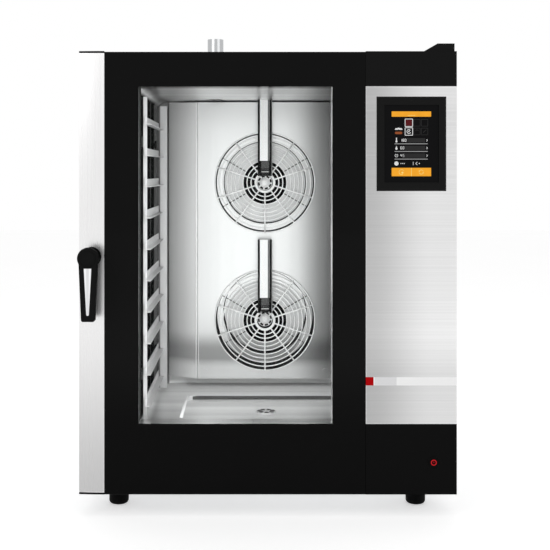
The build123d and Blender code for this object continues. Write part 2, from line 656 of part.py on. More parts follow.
def fan_guard(fan_z):
    centre = (0, fan_z)
    step = (GUARD_RADIUS - GUARD_EYE) / (GUARD_RINGS - 1)
    guard = ring(GUARD_EYE, GUARD_WIRE, centre, GUARD_DEPTH)
    wires = [ring(GUARD_EYE + step * i, GUARD_WIRE, centre, GUARD_DEPTH) for i in range(1, GUARD_RINGS)]
    length = GUARD_RADIUS + GUARD_WIRE - GUARD_EYE
    for i in range(GUARD_SPOKES):
        place = Pos(0, FRONT_Y + SPOKE_DEPTH, fan_z) * Rot(0, 90 + 360 * i / GUARD_SPOKES, 0)
        wires.append(place * Pos(GUARD_EYE + length / 2, 0, 0) * Rot(0, 90, 0) * Cylinder(GUARD_WIRE, length))
    for foot in on_circle(centre, GUARD_RADIUS, GUARD_SPOKES // 2, 90):
        wires.append(rod(1.5 * GUARD_WIRE, foot, (GUARD_DEPTH, BAFFLE_DEPTH)))
    return guard.fuse(*wires)


def channel_bar(half, face, bevel, d, z):
    points = [(-half, d[1]), (-half, d[0] + bevel), (-face, d[0]), (face, d[0]), (half, d[0] + bevel), (half, d[1])]
    return column(points, z)


def injector_channel(which):
    """Steel channel that brings water and steam to the middle of a fan."""
    z = CHANNEL_SPANS[which]
    d = (CHANNEL_BACK - CHANNEL_DEPTH, CHANNEL_BACK)
    half = CHANNEL_WIDTH / 2
    face = CHANNEL_FACE / 2
    inner_z = (z[0] - SHEET, z[1] - SHEET)
    inner_d = (d[0] + SHEET, d[1] - SHEET)
    channel = channel_bar(half, face, CHANNEL_BEVEL, d, z)
    channel -= channel_bar(half - SHEET, face - SHEET / 2, CHANNEL_BEVEL, inner_d, inner_z)
    channel -= block(around(0, face - SHEET), (d[0] - SHEET, d[0] + 2 * SHEET), (z[0] - SHEET, z[0] + CHANNEL_MOUTH))
    cleat_top = z[1] - 2 * SHEET if which == "lower" else BAFFLE_TOP - SHEET
    return channel + block(around(0, CLEAT_WIDTH / 2), (d[1] - SHEET, BAFFLE_DEPTH), (cleat_top - CLEAT_HEIGHT, cleat_top))


# ---- tray racks ----------------------------------------------------------------------------------
def tray_rack(side):
    """Rack that hangs on studs by downward-open tabs; side is -1 on the left and 1 on the right."""
    def across(a, b):
        """Span between two distances from the cavity's middle, on the rack's side."""
        return (min(side * a, side * b), max(side * a, side * b))

    z = (POST_BOTTOM, POST_TOP)
    outer = POST_OUT + POST / 2
    rack = block(across(POST_OUT - POST / 2, outer), around(FRONT_POST, POST / 2), z)
    stop_inner = POST_OUT - RUNNER_FLANGE - STOP_WIDTH / 2
    rack += block(across(stop_inner, outer), around(REAR_POST, POST / 2), z)
    for level in range(LEVELS):
        height = FIRST_LEVEL + PITCH * level
        web = across(POST_OUT - RUNNER_SHEET, POST_OUT)
        run = (RUNNER_FRONT, RUNNER_BACK)
        rack += block(web, run, (height, height + RUNNER_WEB))
        rack += block(across(POST_OUT - RUNNER_FLANGE, POST_OUT), run, (height, height + RUNNER_SHEET))
    for depth in (FRONT_POST, REAR_POST):
        for height in STUD_HEIGHTS:
            tab = block(across(outer, outer + TAB_THICK), around(depth, TAB_SIZE / 2), around(height, TAB_SIZE / 2))
            slot_half = STUD_RADIUS + SLIDE_FIT
            reach = across(outer - POST, outer + 2 * TAB_THICK)
            tab -= crossbar(slot_half, reach, depth, height)
            tab -= block(reach, around(depth, slot_half), (height - TAB_SIZE, height))
            rack += tab
    return rack


def rack_studs():
    studs = []
    outer = POST_OUT + POST / 2
    for side in (-1, 1):
        for depth in (FRONT_POST, REAR_POST):
            for height in STUD_HEIGHTS:
                tip = sorted((side * (outer + SLIDE_FIT), side * CAVITY_HALF))
                collar = sorted((side * (outer + TAB_THICK + SLIDE_FIT), side * CAVITY_HALF))
                stud = crossbar(STUD_RADIUS, tip, depth, height)
                studs.append(stud + crossbar(STUD_COLLAR, collar, depth, height))
    return studs


# ---- exhaust -------------------------------------------------------------------------------------
def exhaust_pipe():
    base = CAVITY_TOP + SHEET
    pipe = upright(EXHAUST_RADIUS - EXHAUST_SWELL, EXHAUST_X, EXHAUST_DEPTH, (base, EXHAUST_TOP))
    pipe += upright(EXHAUST_RADIUS, EXHAUST_X, EXHAUST_DEPTH, (BODY_TOP + EXHAUST_WALL, EXHAUST_TOP))
    pipe += upright(EXHAUST_FLANGE, EXHAUST_X, EXHAUST_DEPTH, (base, base + BASE_SHEET))
    bore = EXHAUST_RADIUS - EXHAUST_WALL
    pipe -= upright(bore, EXHAUST_X, EXHAUST_DEPTH, (base - SHEET, EXHAUST_TOP + SHEET))
    across = around(EXHAUST_X, 2 * EXHAUST_RADIUS)
    return pipe - crossbar(DAMPER_SPINDLE + RUN_FIT, across, EXHAUST_DEPTH, DAMPER_HEIGHT)


def damper_flap():
    """Round flap on a cross spindle that closes the exhaust, with a crank at its right end."""
    radius = EXHAUST_RADIUS - EXHAUST_WALL - DAMPER_GAP
    z = around(DAMPER_HEIGHT, SHEET / 2)
    flap = upright(radius, EXHAUST_X, EXHAUST_DEPTH, z)
    reach = EXHAUST_RADIUS + 2 * DAMPER_SPINDLE
    spindle = (EXHAUST_X - reach, EXHAUST_X + reach + DAMPER_SPINDLE)
    flap += crossbar(DAMPER_SPINDLE, spindle, EXHAUST_DEPTH, DAMPER_HEIGHT)
    crank_x = (EXHAUST_X + reach, EXHAUST_X + reach + DAMPER_SPINDLE)
    crank_z = around(DAMPER_HEIGHT, 1.5 * DAMPER_SPINDLE)
    crank_end = EXHAUST_DEPTH - 4 * DAMPER_SPINDLE
    return flap + block(crank_x, (crank_end, EXHAUST_DEPTH + 1.5 * DAMPER_SPINDLE), crank_z)


# ---- feet ----------------------------------------------------------------------------------------
def levelling_foot(place):
    """Screw foot: a waisted moulded pad on a threaded stud."""
    x, depth = FOOT_PLACES[place]
    top = BODY_BOTTOM - SLIDE_FIT
    chamfer_height = FOOT_RIM / 2
    profile = Polyline(
        (0, 0),
        (FOOT_RADIUS - chamfer_height / 2, 0),
        (FOOT_RADIUS, chamfer_height),
        (FOOT_RADIUS, FOOT_RIM),
        (FOOT_WAIST, 2 * FOOT_RIM),
        (FOOT_WAIST, top - FOOT_RIM),
        (FOOT_WAIST - FOOT_RIM / 3, top),
        (FOOT_STUD, top),
        (FOOT_STUD, FOOT_STUD_TOP),
        (0, FOOT_STUD_TOP),
        close=True,
    )
    foot = revolve(Plane.XZ * make_face(profile), Axis.Z)
    return Pos(x, FRONT_Y + depth, 0) * foot


# ---- door ----------------------------------------------------------------------------------------
def hinge_notch(d):
    return block((HINGE_X - NOTCH_HALF, HALF + SHEET), d, (DOOR_BOTTOM - SHEET, NOTCH_TOP))


def door_frame():
    """Folded steel tray with a duct between the outer and the inner glass."""
    x = (-FRAME_HALF, FRAME_HALF)
    z = (FRAME_BOTTOM, FRAME_TOP)
    front = FRAME_FRONT
    tray = block(x, (front, DOOR_THICK), z)
    tray -= block(spread(x, -SHEET), (front - SHEET, DOOR_THICK - SHEET), spread(z, -SHEET))
    duct_x, duct_z = [spread(span, CLIP_LIP + SLIDE_FIT) for span in inner_pane_spans()]
    tray += block(spread(duct_x, SHEET), (front, DOOR_THICK), spread(duct_z, SHEET))
    tray -= block(duct_x, (front - SHEET, DOOR_THICK - SHEET), duct_z)
    tray -= block(OPEN_X, (front - SHEET, DOOR_THICK + SHEET), OPEN_Z)
    notch_x = (HINGE_X - NOTCH_HALF - SHEET, FRAME_HALF)
    tray += block(notch_x, (NOTCH_FRONT - SHEET, DOOR_THICK), (FRAME_BOTTOM, NOTCH_TOP + SHEET))
    tray -= hinge_notch((NOTCH_FRONT, DOOR_THICK + SHEET))
    bush = BUSH_RADIUS + SEAT_FIT
    tray -= upright(bush, HINGE_X, HINGE_DEPTH, (FRAME_TOP - 2 * SHEET, FRAME_TOP + SHEET))
    tray -= upright(bush, HINGE_X, HINGE_DEPTH, (NOTCH_TOP - SHEET, NOTCH_TOP + 2 * SHEET))
    return tray - rod(SPINDLE_RADIUS + SHEET, HANDLE, (DOOR_THICK - 2 * SHEET, DOOR_THICK + SHEET))


def outer_glass():
    x = (STRIP_RIGHT, FASCIA_LEFT)
    pane = block(x, (0, GLASS), (DOOR_BOTTOM, DOOR_TOP))
    left = pane.edges().filter_by(Axis.Y).group_by(Axis.X)[0]
    return fillet(left, GLASS_CORNER)


def glass_mask():
    """Black enamel round the clear window, on the back of the outer glass."""
    x = (STRIP_RIGHT, FASCIA_LEFT)
    d = (GLASS, GLASS + ENAMEL)
    layer = block(x, d, (DOOR_BOTTOM + GLASS_CORNER, DOOR_TOP - GLASS_CORNER))
    return layer - block(WINDOW_X, spread(d, ENAMEL), WINDOW_Z)


def inner_pane_spans():
    return (spread(OPEN_X, INNER_LAP), spread(OPEN_Z, INNER_LAP))


def inner_glass():
    x, z = inner_pane_spans()
    back = DOOR_THICK - SHEET
    return block(x, (back - INNER_GLASS, back), z)


def glass_clips():
    """Hooked clips that hold the inner glass against the back of the door frame."""
    x, z = inner_pane_spans()
    back = DOOR_THICK - SHEET
    front = back - INNER_GLASS
    clips = []
    for height in (z[0] + 4 * CLIP, middle(z), z[1] - 4 * CLIP):
        for edge, side in ((x[0], -1), (x[1], 1)):
            base = sorted((edge + side * SLIDE_FIT, edge + side * CLIP_LIP))
            lip = sorted((edge - side * SHEET * 2, edge + side * CLIP_LIP))
            clip = block(base, (front - SHEET, back), around(height, CLIP / 2))
            clips.append(clip + block(lip, (front - 2 * SHEET, front), around(height, CLIP / 2)))
    return clips


def strip_section(inset):
    """Bowed front of the side strip, set back by the sheet's thickness for its inner face."""
    left = (-HALF + inset, FRONT_Y + STRIP_BOW + inset)
    crown = (middle((-HALF + inset, STRIP_RIGHT)), FRONT_Y + STRIP_BOW / 4 + inset)
    right = (STRIP_RIGHT, FRONT_Y + inset)
    return left, crown, right


def strip_bar(z, inset, back):
    left, crown, right = strip_section(inset)
    edge = [ThreePointArc(left, crown, right), Line(right, (right[0], FRONT_Y + back))]
    edge += [Line((right[0], FRONT_Y + back), (left[0], FRONT_Y + back)), Line((left[0], FRONT_Y + back), left)]
    return Pos(0, 0, z[0]) * extrude(make_face(Curve() + edge), z[1] - z[0])


def side_strip():
    """Stainless strip down the handle side, folded round the door's left edge."""
    z = (DOOR_BOTTOM + CAP_HEIGHT, DOOR_TOP + CAP_PROUD - CAP_HEIGHT)
    strip = strip_bar(z, 0, STRIP_BOW + SHEET) - strip_bar(spread(z, SHEET), SHEET, STRIP_BOW + 2 * SHEET)
    strip += block((-HALF, -FRAME_HALF), (STRIP_BOW + SHEET, DOOR_THICK), z)
    return strip - rod(ROSETTE_RADIUS + RUN_FIT, HANDLE, (-SHEET, STRIP_BOW + 2 * SHEET))


def strip_end_caps():
    top = DOOR_TOP + CAP_PROUD
    back = FRAME_FRONT
    upper = strip_bar((top - CAP_HEIGHT, top), 0, back)
    return [upper, strip_bar((DOOR_BOTTOM, DOOR_BOTTOM + CAP_HEIGHT), 0, back)]


def control_fascia():
    x = (FASCIA_LEFT, HALF)
    pocket = PANEL_THICK - PANEL_PROUD
    fascia = block(x, (0, FRAME_FRONT), (DOOR_BOTTOM, FASCIA_TOP))
    fascia -= block(spread(x, SHEET), (-SHEET, pocket), PANEL_Z)
    fascia += block((FRAME_HALF, HALF), (FRAME_FRONT, DOOR_THICK), (DOOR_BOTTOM, DOOR_TOP))
    fascia -= block(*screen_collar(SEAT_FIT), around(SCREEN_Z, BEZEL_HEIGHT / 2 - BEZEL_COLLAR + SEAT_FIT))
    fascia -= rod(BUTTON_COLLAR + SEAT_FIT, BUTTON, (-SHEET, FRAME_FRONT + SHEET))
    return fascia - hinge_notch((NOTCH_FRONT, DOOR_THICK + SHEET))


def screen_collar(play):
    """Width and depth of the collar that carries the bezel through the panel and the fascia."""
    return around(SCREEN_X, BEZEL_WIDTH / 2 - BEZEL_COLLAR + play), (-PANEL_PROUD - play, FRAME_FRONT + play)


def control_panel():
    x = (FASCIA_LEFT, HALF)
    panel = block(x, (-PANEL_PROUD, PANEL_THICK - PANEL_PROUD), PANEL_Z)
    return panel - block(*screen_collar(SEAT_FIT), around(SCREEN_Z, BEZEL_HEIGHT / 2 - BEZEL_COLLAR + SEAT_FIT))


def screen_bezel():
    x, d = screen_collar(0)
    proud = (-PANEL_PROUD - BEZEL_PROUD, -PANEL_PROUD)
    outer_x = around(SCREEN_X, BEZEL_WIDTH / 2)
    outer_z = around(SCREEN_Z, BEZEL_HEIGHT / 2)
    bezel = block(outer_x, proud, outer_z)
    rim = bezel.faces().sort_by(Axis.Y)[0].edges()
    bezel = chamfer(rim, BEZEL_BEVEL)
    bezel += block(x, (proud[1], d[1]), spread(outer_z, -BEZEL_COLLAR))
    opening = (around(SCREEN_X, SCREEN_WIDTH / 2), around(SCREEN_Z, SCREEN_HEIGHT / 2))
    return bezel - block(opening[0], (proud[0] - SHEET, d[1] + SHEET), opening[1])


def screen_glass():
    front = -PANEL_PROUD - BEZEL_PROUD + BEZEL_BEVEL + SCREEN_RECESS
    x = around(SCREEN_X, SCREEN_WIDTH / 2)
    return block(x, (front, front + SCREEN_THICK), around(SCREEN_Z, SCREEN_HEIGHT / 2))


def control_board():
    glass_back = -PANEL_PROUD - BEZEL_PROUD + BEZEL_BEVEL + SCREEN_RECESS + SCREEN_THICK
    x = around(SCREEN_X, SCREEN_WIDTH / 2)
    z = around(SCREEN_Z, SCREEN_HEIGHT / 2)
    board = block(spread(x, -BOARD_MARGIN), (glass_back, FRAME_FRONT), spread(z, -BOARD_MARGIN))
    back = (FRAME_FRONT, FRAME_FRONT + BOARD_THICK)
    return board + block(spread(x, BOARD_MARGIN), back, spread(z, BOARD_MARGIN))


def stripe_label():
    x = (FASCIA_LEFT, HALF)
    return block(x, (-PANEL_PROUD - STRIPE_THICK, -PANEL_PROUD), STRIPE_Z)


def button_bezel():
    bezel = rod(BUTTON_RIM, BUTTON, (-BUTTON_PROUD / 2, 0))
    bezel += rod(BUTTON_COLLAR, BUTTON, (0, BUTTON_BACK))
    return bezel - rod(BUTTON_RADIUS + RUN_FIT, BUTTON, (-BUTTON_PROUD, BUTTON_BACK - SHEET))


def power_button():
    back = BUTTON_BACK - SHEET - BUTTON_TRAVEL - SLIDE_FIT
    return rod(BUTTON_RADIUS, BUTTON, (-BUTTON_PROUD, back))


# ---- hinge ---------------------------------------------------------------------------------------
def bracket_arm(d, z):
    arm = block(around(HINGE_X, BRACKET_HALF), d, z)
    return arm + upright(BRACKET_HALF, HINGE_X, HINGE_DEPTH, z)


def bracket_heights():
    bottom = (BODY_BOTTOM - BRACKET_THICK, BODY_BOTTOM)
    low = COVER_BOTTOM + SHEET
    return bottom, (low, low + BRACKET_THICK)


def hinge_brackets():
    bottom, top = bracket_heights()
    lower = bracket_arm((HINGE_DEPTH, BRACKET_BACK), bottom)
    cover_inside = COVER_BACK - COVER_WALL - SLIDE_FIT
    upper = bracket_arm((HINGE_DEPTH, cover_inside), top)
    upper += block(around(HINGE_X, BRACKET_HALF - COVER_WALL), (BODY_FRONT + SHEET, cover_inside), (BODY_TOP, top[0]))
    pin_hole = PIN_RADIUS + SEAT_FIT
    lower -= upright(pin_hole, HINGE_X, HINGE_DEPTH, spread(bottom, SHEET))
    upper -= upright(pin_hole, HINGE_X, HINGE_DEPTH, spread(top, SHEET))
    return [lower, upper]


def hinge_pins():
    bottom, top = bracket_heights()
    lower = upright(PIN_RADIUS, HINGE_X, HINGE_DEPTH, (bottom[0], bottom[1] + PIN_REACH))
    upper = upright(PIN_RADIUS, HINGE_X, HINGE_DEPTH, (top[0] - PIN_REACH, top[1]))
    upper += upright(BRACKET_HALF, HINGE_X, HINGE_DEPTH, (top[1], top[1] + PIN_HEAD_THICK))
    return [lower, upper]


def hinge_bushes():
    bottom, top = bracket_heights()
    bore = PIN_RADIUS + RUN_FIT
    lower_z = (bottom[1] + SLIDE_FIT, bottom[1] + PIN_REACH + BASE_SHEET)
    upper_z = (top[0] - PIN_REACH - BASE_SHEET, FRAME_TOP)
    bushes = []
    for z in (lower_z, upper_z):
        tube = upright(BUSH_RADIUS, HINGE_X, HINGE_DEPTH, z)
        bushes.append(tube - upright(bore, HINGE_X, HINGE_DEPTH, spread(z, SHEET)))
    return bushes


def hinge_cover():
    """Wedge-ended cover over the top hinge bracket."""
    def wedge(wall, bottom):
        left = COVER_LEFT + wall
        right = COVER_RIGHT - wall
        top = COVER_TOP - wall
        outline = [(left, bottom), (left + COVER_SLOPE, top), (right, top), (right, bottom)]
        return outline_xz(outline, (COVER_FRONT + wall, COVER_BACK - wall))

    cover = wedge(0, COVER_BOTTOM)
    skirt = (BODY_FRONT, COVER_BACK)
    cover += block((COVER_LEFT, COVER_RIGHT), skirt, (BODY_TOP, COVER_BOTTOM))
    cover -= wedge(COVER_WALL, COVER_BOTTOM - SHEET)
    inside = spread(skirt, -COVER_WALL)
    return cover - block((COVER_LEFT + COVER_WALL, COVER_RIGHT - COVER_WALL), (skirt[0] - SHEET, inside[1]),
                         (BODY_TOP - SHEET, COVER_BOTTOM))


# ---- handle and latch ----------------------------------------------------------------------------
def handle_lever():
    d = (-HANDLE_REACH + LEVER_EDGE / 2, -HANDLE_REACH + LEVER_THICK)
    half_end = LEVER_END_WIDTH / 2
    half_top = LEVER_TOP_WIDTH / 2
    bottom = HANDLE_Z - LEVER_LENGTH
    points = [(HANDLE_X - half_top, HANDLE_Z), (HANDLE_X - half_end, bottom)]
    points += [(HANDLE_X + half_end, bottom), (HANDLE_X + half_top, HANDLE_Z)]
    lever = outline_xz(points, d)
    corners = lever.edges().filter_by(Axis.Y).group_by(Axis.Z)[0]
    lever = fillet(corners, LEVER_EDGE)
    lever += rod(LEVER_TOP_WIDTH / 2, HANDLE, d)
    front = lever.faces().sort_by(Axis.Y)[0].edges()
    lever = fillet(front, LEVER_ROUND)
    lever += rod(HUB_RADIUS - LEVER_EDGE, HANDLE, (-HANDLE_REACH, d[1]))
    lever += rod(NECK_RADIUS, HANDLE, (d[1] - LEVER_EDGE, -ROSETTE_PROUD - SLIDE_FIT))
    lever -= inlay_bar((-HANDLE_REACH, d[0] + INLAY_SUNK), SEAT_FIT)
    return lever - rod(SPINDLE_RADIUS + SEAT_FIT, HANDLE, (-SPINDLE_FRONT, 0))


def inlay_bar(d, play):
    top = HANDLE_Z - INLAY_START + play
    bottom = HANDLE_Z - INLAY_END
    half_top = INLAY_TOP_WIDTH / 2 + play
    half_end = INLAY_END_WIDTH / 2 + play
    points = [(HANDLE_X - half_top, top), (HANDLE_X - half_end, bottom)]
    points += [(HANDLE_X + half_end, bottom), (HANDLE_X + half_top, top)]
    return outline_xz(points, d) + rod(half_end, (HANDLE_X, bottom), d)


def handle_inlay():
    face = -HANDLE_REACH + LEVER_EDGE / 2
    return inlay_bar((face + INLAY_SUNK - INLAY_THICK, face + INLAY_SUNK), 0)


def handle_rosette():
    rosette = rod(ROSETTE_RADIUS, HANDLE, (-ROSETTE_PROUD, FRAME_FRONT + SHEET))
    rosette += rod(NECK_RADIUS, HANDLE, (FRAME_FRONT, DOOR_THICK - SHEET))
    return rosette - rod(SPINDLE_RADIUS + RUN_FIT, HANDLE, (-2 * ROSETTE_PROUD, DOOR_THICK))


def tongue_span():
    front = BODY_FRONT + TONGUE_BEHIND
    return (front, front + TONGUE_THICK)


def handle_spindle():
    return rod(SPINDLE_RADIUS, HANDLE, (-SPINDLE_FRONT, tongue_span()[1]))


def latch_tongue():
    d = tongue_span()
    tongue = rod(TONGUE_RADIUS, HANDLE, d)
    half = TONGUE_WIDTH / 2
    tongue += block(around(HANDLE_X, half), d, (HANDLE_Z - TONGUE_LENGTH, HANDLE_Z))
    return tongue - rod(SPINDLE_RADIUS + SEAT_FIT, HANDLE, spread(d, SHEET))


def latch_keeper():
    """Slotted plate behind the cabinet's front that the turned tongue locks behind."""
    d = (BODY_FRONT + SHEET, BODY_FRONT + SHEET + KEEPER_THICK)
    half = TONGUE_RADIUS + SLOT_PLAY + KEEPER_MARGIN / 3
    z = (HANDLE_Z - TONGUE_LENGTH - KEEPER_MARGIN, HANDLE_Z + TONGUE_RADIUS + KEEPER_MARGIN)
    plate = block((HANDLE_X - half, HANDLE_X + TONGUE_LENGTH + KEEPER_MARGIN / 3), d, z)
    return plate - latch_slot(spread(d, SHEET), SLOT_PLAY)


# ---- rear fittings and electrics -----------------------------------------------------------------
def water_inlet():
    centre = (INLET_X, FITTING_Z)
    end = DEPTH + REAR_REACH
    hex_end = DEPTH + INLET_HEX_LENGTH
    inlet = rod(INLET_RADIUS - INLET_NECK, centre, (DEPTH - FITTING_INSIDE, end))
    inlet += rod(INLET_RADIUS, centre, (hex_end + INLET_GROOVE, end))
    hexagon = Rot(90, 0, 0) * extrude(RegularPolygon(INLET_HEX, 6), INLET_HEX_LENGTH)
    inlet += Pos(INLET_X, FRONT_Y + hex_end, FITTING_Z) * hexagon
    return inlet - rod(INLET_BORE, centre, (DEPTH - 2 * FITTING_INSIDE, end + SHEET))


def cable_gland():
    centre = (GLAND_X, FITTING_Z)
    end = DEPTH + REAR_REACH * 0.9
    gland = rod(GLAND_NUT, centre, (DEPTH - FITTING_INSIDE, end))
    gland += rod(GLAND_RADIUS, centre, (DEPTH, DEPTH + INLET_HEX_LENGTH))
    return gland - rod(GLAND_BORE, centre, (DEPTH - 2 * FITTING_INSIDE, end + SHEET))


def power_board():
    wall = BODY_HALF - SHEET
    back = wall - POWER_BOARD_OFF
    board = block((back - POWER_BOARD_SHEET, back), POWER_BOARD_DEPTH, POWER_BOARD_Z)
    low, high = spread(POWER_BOARD_Z, -POWER_BOARD_OFF)
    near, far = spread(POWER_BOARD_DEPTH, -POWER_BOARD_OFF)
    for depth in (near, far):
        for height in (low, high):
            board += crossbar(POWER_BOARD_OFF / 3, (back, wall), depth, height)
    relay = POWER_BOARD_OFF * 2
    for i in range(4):
        z = low + (high - low) * (i + 0.5) / 4
        board += block((back - POWER_BOARD_SHEET - relay, back - POWER_BOARD_SHEET),
                       around(middle(POWER_BOARD_DEPTH), relay), around(z, relay))
    return board


# ---- every node ----------------------------------------------------------------------------------
def model():
    nodes = {
        "base_chassis": base_chassis(),
        "left_side_panel": side_panel(-1),
        "right_side_panel": side_panel(1),
        "top_cover": top_cover(),
        "rear_panel": rear_panel(),
        "front_frame": front_frame(),
        "cavity_liner": cavity_liner(),
        "cavity_insulation": cavity_insulation(),
        "door_gasket": door_gasket(),
        "drain_strainer": drain_strainer(),
        "drain_pipe": drain_pipe(),
        "fan_baffle": fan_baffle(),
        "baffle_fixings": baffle_fixings(),
        "fan_motors": [fan_motor(z) for z in FAN_HEIGHTS.values()],
        "heating_elements": [heating_element(z) for z in FAN_HEIGHTS.values()],
        "rack_studs": rack_studs(),
        "left_rack": tray_rack(-1),
        "right_rack": tray_rack(1),
        "exhaust_pipe": exhaust_pipe(),
        "damper_flap": damper_flap(),
        "hinge_brackets": hinge_brackets(),
        "hinge_pins": hinge_pins(),
        "hinge_cover": hinge_cover(),
        "latch_keeper": latch_keeper(),
        "water_inlet": water_inlet(),
        "cable_gland": cable_gland(),
        "power_board": power_board(),
        "door_frame": door_frame(),
        "outer_glass": outer_glass(),
        "glass_mask": glass_mask(),
        "inner_glass": inner_glass(),
        "glass_clips": glass_clips(),
        "side_strip": side_strip(),
        "strip_end_caps": strip_end_caps(),
        "control_fascia": control_fascia(),
        "control_panel": control_panel(),
        "screen_bezel": screen_bezel(),
        "screen_glass": screen_glass(),
        "control_board": control_board(),
        "stripe_label": stripe_label(),
        "button_bezel": button_bezel(),
        "power_button": power_button(),
        "hinge_bushes": hinge_bushes(),
        "handle_rosette": handle_rosette(),
        "handle_lever": handle_lever(),
        "handle_inlay": handle_inlay(),
        "handle_spindle": handle_spindle(),
        "latch_tongue": latch_tongue(),
    }
    for which, height in FAN_HEIGHTS.items():
        nodes[which + "_fan_wheel"] = fan_wheel(height)
        nodes[which + "_fan_shaft"] = fan_shaft(height)
        nodes[which + "_fan_guard"] = fan_guard(height)
        nodes[which + "_injector_channel"] = injector_channel(which)
    for place in FOOT_PLACES:
        nodes["foot_" + place] = levelling_foot(place)
    return nodes


if __name__ == "__main__":
    os.makedirs("parts", exist_ok=True)
    for name, shape in model().items():
        save(name, shape)
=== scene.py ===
import math

import bmesh
import bpy
import numpy as np
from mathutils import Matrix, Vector


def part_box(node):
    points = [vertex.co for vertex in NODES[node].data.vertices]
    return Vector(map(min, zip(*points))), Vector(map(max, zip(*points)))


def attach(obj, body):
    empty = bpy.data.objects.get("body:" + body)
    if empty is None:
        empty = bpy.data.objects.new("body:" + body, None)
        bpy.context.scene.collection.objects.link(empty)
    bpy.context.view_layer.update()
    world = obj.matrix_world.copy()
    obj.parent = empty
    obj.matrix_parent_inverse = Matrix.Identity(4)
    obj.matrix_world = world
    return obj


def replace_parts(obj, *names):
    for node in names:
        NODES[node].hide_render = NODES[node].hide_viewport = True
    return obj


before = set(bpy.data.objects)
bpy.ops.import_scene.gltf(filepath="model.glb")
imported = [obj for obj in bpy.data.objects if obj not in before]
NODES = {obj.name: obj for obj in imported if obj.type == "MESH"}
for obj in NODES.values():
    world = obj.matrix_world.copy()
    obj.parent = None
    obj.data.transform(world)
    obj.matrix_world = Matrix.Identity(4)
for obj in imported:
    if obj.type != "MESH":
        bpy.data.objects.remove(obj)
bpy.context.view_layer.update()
TURN = 2 * math.pi


# ---- places worked out from the frame --------------------------------------------------------------
def low(node):
    return np.array(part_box(node)[0])


def high(node):
    return np.array(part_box(node)[1])


def centre(node):
    return (low(node) + high(node)) / 2


def size(node):
    return high(node) - low(node)


def mesh_points(node):
    """Corner points of a node's mesh, as an array."""
    data = NODES[node].data
    points = np.empty(3 * len(data.vertices))
    data.vertices.foreach_get("co", points)
    return points.reshape(-1, 3)


def hole_of(node):
    """Sides (x0, x1, z0, z1) of the rectangular hole in a flat node: its inner pair of X and of Z values."""
    points = np.round(mesh_points(node), 5)
    x, z = np.unique(points[:, 0]), np.unique(points[:, 2])
    return x[1], x[-2], z[1], z[-2]


def recess_sides():
    """Sides (x0, x1, y0, y1) of the sunk part of the cavity's floor: the reach of its lowest points."""
    points = mesh_points("cavity_liner")
    x, y, _ = points[points[:, 2] < points[:, 2].min() + 0.0005].T
    return x.min(), x.max(), y.min(), y.max()


FRONT = low("outer_glass")[1]
SCREEN_FACE = low("screen_glass")[1]
WINDOW = hole_of("glass_mask")
RECESS = recess_sides()
LINER_LOW, LINER_HIGH = low("cavity_liner"), high("cavity_liner")
BAFFLE_LOW, BAFFLE_HIGH = low("fan_baffle"), high("fan_baffle")
FOLD = -0.2050            # fold between the baffle's face and its left wing
RACK_HOOKS = 0.3168       # distance from the middle past which the rack is only its hooks
RACK_SHADE = 0.3085       # distance from the middle past which the rack's rear post is in shade
WALL_BEAD = 0.044         # depth of the pressed bead in the cavity's side walls, which a painted grey highlight marks
REAR_CORNER = 0.148       # depth at which the cavity's side walls turn from painted black shade to painted grey
FEET = ("front_left", "front_right", "rear_left", "rear_right")


# ---- meshes ----------------------------------------------------------------------------------------
def link(name, data):
    """Object of that name in the scene."""
    obj = bpy.data.objects.new(name, data)
    bpy.context.scene.collection.objects.link(obj)
    return obj


def add_mesh(name, shape, finish, body="cabinet", smooth=True):
    """Object from (points, faces) in the finish of that name, riding on a body."""
    points, faces = shape
    mesh = bpy.data.meshes.new(name)
    mesh.from_pydata(points.tolist(), [], [list(map(int, face)) for face in faces])
    mesh.validate()
    shell = bmesh.new()
    shell.from_mesh(mesh)
    bmesh.ops.recalc_face_normals(shell, faces=shell.faces)
    shell.to_mesh(mesh)
    shell.free()
    mesh.polygons.foreach_set("use_smooth", [smooth] * len(mesh.polygons))
    mesh.materials.append(bpy.data.materials[finish])
    obj = link(name, mesh)
    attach(obj, body)
    return obj


def grid_faces(rows, columns, wrap_rows=False, wrap_columns=False):
    """Quads of a grid of rows x columns points, closed round either way if asked."""
    r = np.arange(rows if wrap_rows else rows - 1)
    c = np.arange(columns if wrap_columns else columns - 1)
    r, c = (x.ravel() for x in np.meshgrid(r, c, indexing="ij"))
    r2 = (r + 1) % rows
    c2 = (c + 1) % columns
    return np.stack([r * columns + c, r2 * columns + c, r2 * columns + c2, r * columns + c2], axis=1)


def closed_faces(rows, columns):
    """Quads of a grid that is closed round its columns, and a flat face over its first and its last row."""
    end = np.arange(columns)
    return [*grid_faces(rows, columns, wrap_columns=True), end, end + (rows - 1) * columns]


def merged(parts):
    """Several (points, faces) joined into one."""
    points, faces, start = [], [], 0
    for p, f in parts:
        points.append(p)
        faces += [np.array(face) + start for face in f]
        start += len(p)
    return np.concatenate(points), faces


def turned(profile, place, segments=48, upright=False):
    """A (radius, along) profile turned about the Y axis as a closed loop, or upright as a closed solid.

    Point i at turn t lies at (r cos t, a, r sin t), or upright at (r cos t, r sin t, a)."""
    r, a = np.array(profile, float).T[:, :, None]
    t = np.linspace(0, TURN, segments, endpoint=False)
    across, along, third = r * np.cos(t), a + 0 * t, r * np.sin(t)
    points = np.stack([across, third, along] if upright else [across, along, third], axis=-1)
    rows = len(profile)
    faces = closed_faces(rows, segments) if upright else grid_faces(rows, segments, True, True)
    return points.reshape(-1, 3) + np.array(place), faces


def rounded_end(radius, start, edge, steps=7):
    """Profile of a disc's edge: from its flat end at `start` round a quarter circle to its full radius."""
    t = np.linspace(0, TURN / 4, steps)
    return list(zip(radius - edge + edge * np.sin(t), start + edge - edge * np.cos(t)))


